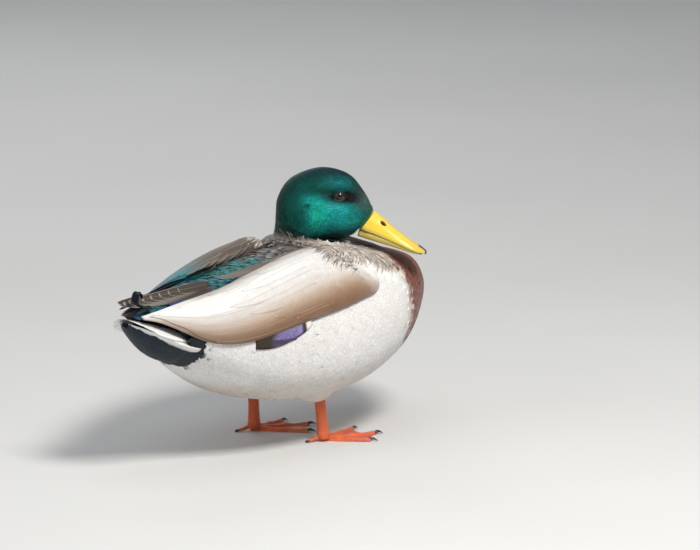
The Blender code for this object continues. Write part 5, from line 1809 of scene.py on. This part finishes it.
def make_foot(side, name):
    """Webbed foot: three jointed toes with cross plates, veined web between, flat sole.

    Its top is the higher of the web and of each toe's ridge, sqrt(girth^2 - off^2) high.
    """
    angle = np.linspace(-WEB_SPREAD, WEB_SPREAD, 121)[None]
    share = np.linspace(0, 1, 90)[:, None]
    reach = toe_reach(np.clip(angle, -TOE_SPREAD, TOE_SPREAD))
    heading = math.radians(FOOT_HEADING[name])
    distance = FOOT_ROOT + share * (reach - FOOT_ROOT)
    fanned = 0.35 + 0.65 * np.minimum(share * 3.0, 1.0)
    bend = heading + side * np.radians(angle) * fanned
    x = ANKLE[name][0] - HEEL * math.cos(heading) + distance * np.cos(bend)
    y = ANKLE[name][1] - HEEL * math.sin(heading) + distance * np.sin(bend)
    vein = np.abs(np.sin(np.radians(angle) * 46 + 0.5 * np.sin(distance * 0.5)))
    height = WEB_THICKNESS * (0.72 + 0.22 * vein) * (1 - 0.45 * ease(0.85, 1.0, share))
    toes = np.zeros(x.shape)
    for key, toe in TOE_ANGLES.items():
        off = distance * np.abs(np.sin(np.radians(angle - toe))) * fanned
        knuckles = 0.14 * np.cos(distance / TOE_LENGTHS[key] * 2 * math.pi * 3.2)
        girth = TOE_RADIUS * (1 - 0.38 * share) * (1 + knuckles)
        ridge = 1.7 * np.sqrt(np.clip(girth ** 2 - off ** 2, 0, None)) * 0.62
        plate = 0.22 * (1 - (distance / TOE_PLATE_STEP) % 1.0) * (ridge > 0.6)
        height = np.maximum(height, WEB_THICKNESS * 0.6 + ridge + plate)
        toes = np.maximum(toes, ease(0.2, 1.6, ridge))
    height = np.minimum(height, SHANK_FOOT - 0.1)
    colour = mix(PINK if side < 0 else PEACH, ORANGE * 1.05, toes)
    colour = mix(colour, colour * (0.75, 0.55, 0.55), (1 - vein) * (1 - toes) * 0.5)
    top, flat = stacked(x, y, height), stacked(x, y, 0 * x)
    shell(f"webbed_foot_{name}", top, flat, LEG_SKIN, colour=colour, flip=side > 0, slot="leg",
          replaces=(f"foot_{name}",), sharp=70)


def upright_rings(centre, girth, ahead, around):
    """A circle of its own girth round each point of a path, square to the way ahead."""
    turn = circle(around)
    aside = np.array([-ahead[1], ahead[0], 0.0])
    ring = np.cos(turn)[:, None] * aside + np.sin(turn)[:, None] * UP
    return centre[:, None] + girth[:, None, None] * ring


def claw_rings(start, ahead):
    """A tapering horn carried along a slightly arched path, its tip turned down."""
    share = np.linspace(0, 1, 24)
    girth = CLAW_RADIUS * (1 - 0.88 * share ** 1.4)
    centre = start + ahead * ((CLAW_LENGTH + 0.8) * share)[:, None]
    centre[:, 2] += 0.7 * CLAW_RADIUS * np.sin(share * math.pi) + girth
    return upright_rings(centre, girth, ahead, 14)


def make_claws(side, name):
    """Three claws and the small hind toe with its own claw."""
    heading = math.radians(FOOT_HEADING[name])
    heel = np.array([*ANKLE[name], 0.0])
    for toe, toe_angle in TOE_ANGLES.items():
        ahead = level_unit(heading + side * math.radians(toe_angle))
        start = heel - HEEL * level_unit(heading) + ahead * (TOE_LENGTHS[toe] - 1.2) + 0.25 * UP
        rings = claw_rings(start, ahead)
        share = np.linspace(0, 1, len(rings))[:, None] + 0 * rings[..., 0]
        tube(f"toe_{toe}_claw_{name}", rings, DARK_HORN, colour=mix(SLATE * 1.2, PITCH, share),
             slot="dark_horn", replaces=(f"claw_{toe}_{name}",))
    share = np.linspace(0, 1, 40)
    girth = HIND_TOE_RADIUS * (1 - 0.5 * share) * (1 + 0.05 * np.cos(share * 40))
    ahead = -level_unit(heading)
    centre = heel + ahead * (3.4 + (HIND_TOE_LENGTH + 1.0) * share)[:, None]
    centre[:, 2] = 0.1 + girth + HIND_TOE_DROP * (1 - share) ** 2
    rings = upright_rings(centre, girth, ahead, 20)
    horny = ease(0.72, 0.85, share)[:, None] + 0 * rings[..., 0]
    tube(f"rear_toe_{name}", rings, LEG_SKIN, colour=mix(ORANGE, SLATE, horny), slot="leg",
         replaces=(f"hind_toe_{name}",))


# ---- studio ----

CAMERA_TURN, CAMERA_RISE, CAMERA_AWAY = math.radians(-52), math.radians(12), 6.0
VIEW_WIDTH = 0.5635             # metres across the view at the bird
SENSOR = 36.0
AIM = np.array([247.3, -33.0, 130.7])
FLOOR_REACH = 40.0
LIGHTS = [  # name; how far towards the view, right and up; distance, size, power, colour
    ("key", (0.85, 0.42, 0.92), 1.75, 0.45, 32, (1.0, 0.97, 0.92)),
    ("fill", (0.6, -1.0, 0.35), 2.2, 1.6, 8, (0.92, 0.96, 1.0)),
    ("back", (-1.0, -0.4, 0.9), 2.0, 1.2, 8, (1, 1, 1)),
    ("top", (0, 0, 1), 2.0, 1.4, 6, (1, 1, 1)),
]
SKY_COLOUR, SKY_STRENGTH = (0.83, 0.86, 0.9, 1), 0.32


def set_up(name, data, place, turned):
    """An object that isn't part of the bird, in its place in the scene."""
    made = bpy.data.objects.new(name, data)
    made.location = place
    made.rotation_mode = "QUATERNION"
    made.rotation_quaternion = turned
    bpy.context.scene.collection.objects.link(made)
    return made


def make_camera(aim, back):
    """The camera, back from what it looks at, with the lens that gives the view's width."""
    data = bpy.data.cameras.new("camera")
    data.sensor_width = SENSOR
    data.lens = SENSOR * CAMERA_AWAY / VIEW_WIDTH
    data.clip_end = 100.0
    turned = (-back).to_track_quat("-Z", "Y")
    bpy.context.scene.camera = set_up("camera", data, aim + back * CAMERA_AWAY, turned)


def make_light(name, aim, towards, distance, size, power, colour):
    """A square soft light, distance metres off in a direction, facing the bird."""
    data = bpy.data.lights.new(name, "AREA")
    data.size, data.energy, data.color = size, power, colour
    away = towards.normalized()
    set_up(name, data, aim + away * distance, away.to_track_quat("Z", "Y"))


def make_floor():
    """A round plain floor."""
    turn = circle(64)
    rim = stacked(np.cos(turn), np.sin(turn), 0 * turn) * FLOOR_REACH
    mesh = bpy.data.meshes.new("studio_floor")
    mesh.from_pydata(rim.tolist(), [], [list(range(len(rim)))])
    mesh.materials.append(floor_finish())
    floor = bpy.data.objects.new("studio_floor", mesh)
    bpy.context.scene.collection.objects.link(floor)


def make_studio():
    """Camera, four soft lights, a pale surround and the floor."""
    aim = Vector(AIM * MM + ORIGIN)
    level = math.cos(CAMERA_RISE)
    back = Vector((math.sin(CAMERA_TURN) * level, -math.cos(CAMERA_TURN) * level,
                   math.sin(CAMERA_RISE)))
    right = Vector((math.cos(CAMERA_TURN), math.sin(CAMERA_TURN), 0.0))
    up = Vector((0, 0, 1))
    make_camera(aim, back)
    for name, (towards, aside, above), *rest in LIGHTS:
        make_light(name, aim, back * towards + right * aside + up * above, *rest)
    world = bpy.data.worlds.new("studio")
    bpy.context.scene.world = world
    world.use_nodes = True
    shade = world.node_tree.nodes["Background"]
    shade.inputs["Color"].default_value = SKY_COLOUR
    shade.inputs["Strength"].default_value = SKY_STRENGTH
    make_floor()
    bpy.context.scene.view_settings.view_transform = "Standard"


make_skin()
head_coat()
neck_coat()
breast_coat()
flank_coat()
back_coat()
rump_coat()
vent_coat()
mantle_tufts()
make_upper_bill()
make_lower_bill()
make_tail()
make_coverts("uppertail", UPPERTAIL, True, 60)
make_coverts("undertail", UNDERTAIL, False, 61)
edge_scapulars()
for side_name, sign in SIDES:
    make_eye(sign, side_name)
    make_lid(sign, side_name)
    make_wing(sign, side_name)
    make_speculum(sign, side_name)
    make_primaries(sign, side_name)
    make_curl(side_name)
    make_shank(side_name)
    make_foot(sign, side_name)
    make_claws(sign, side_name)
make_studio()
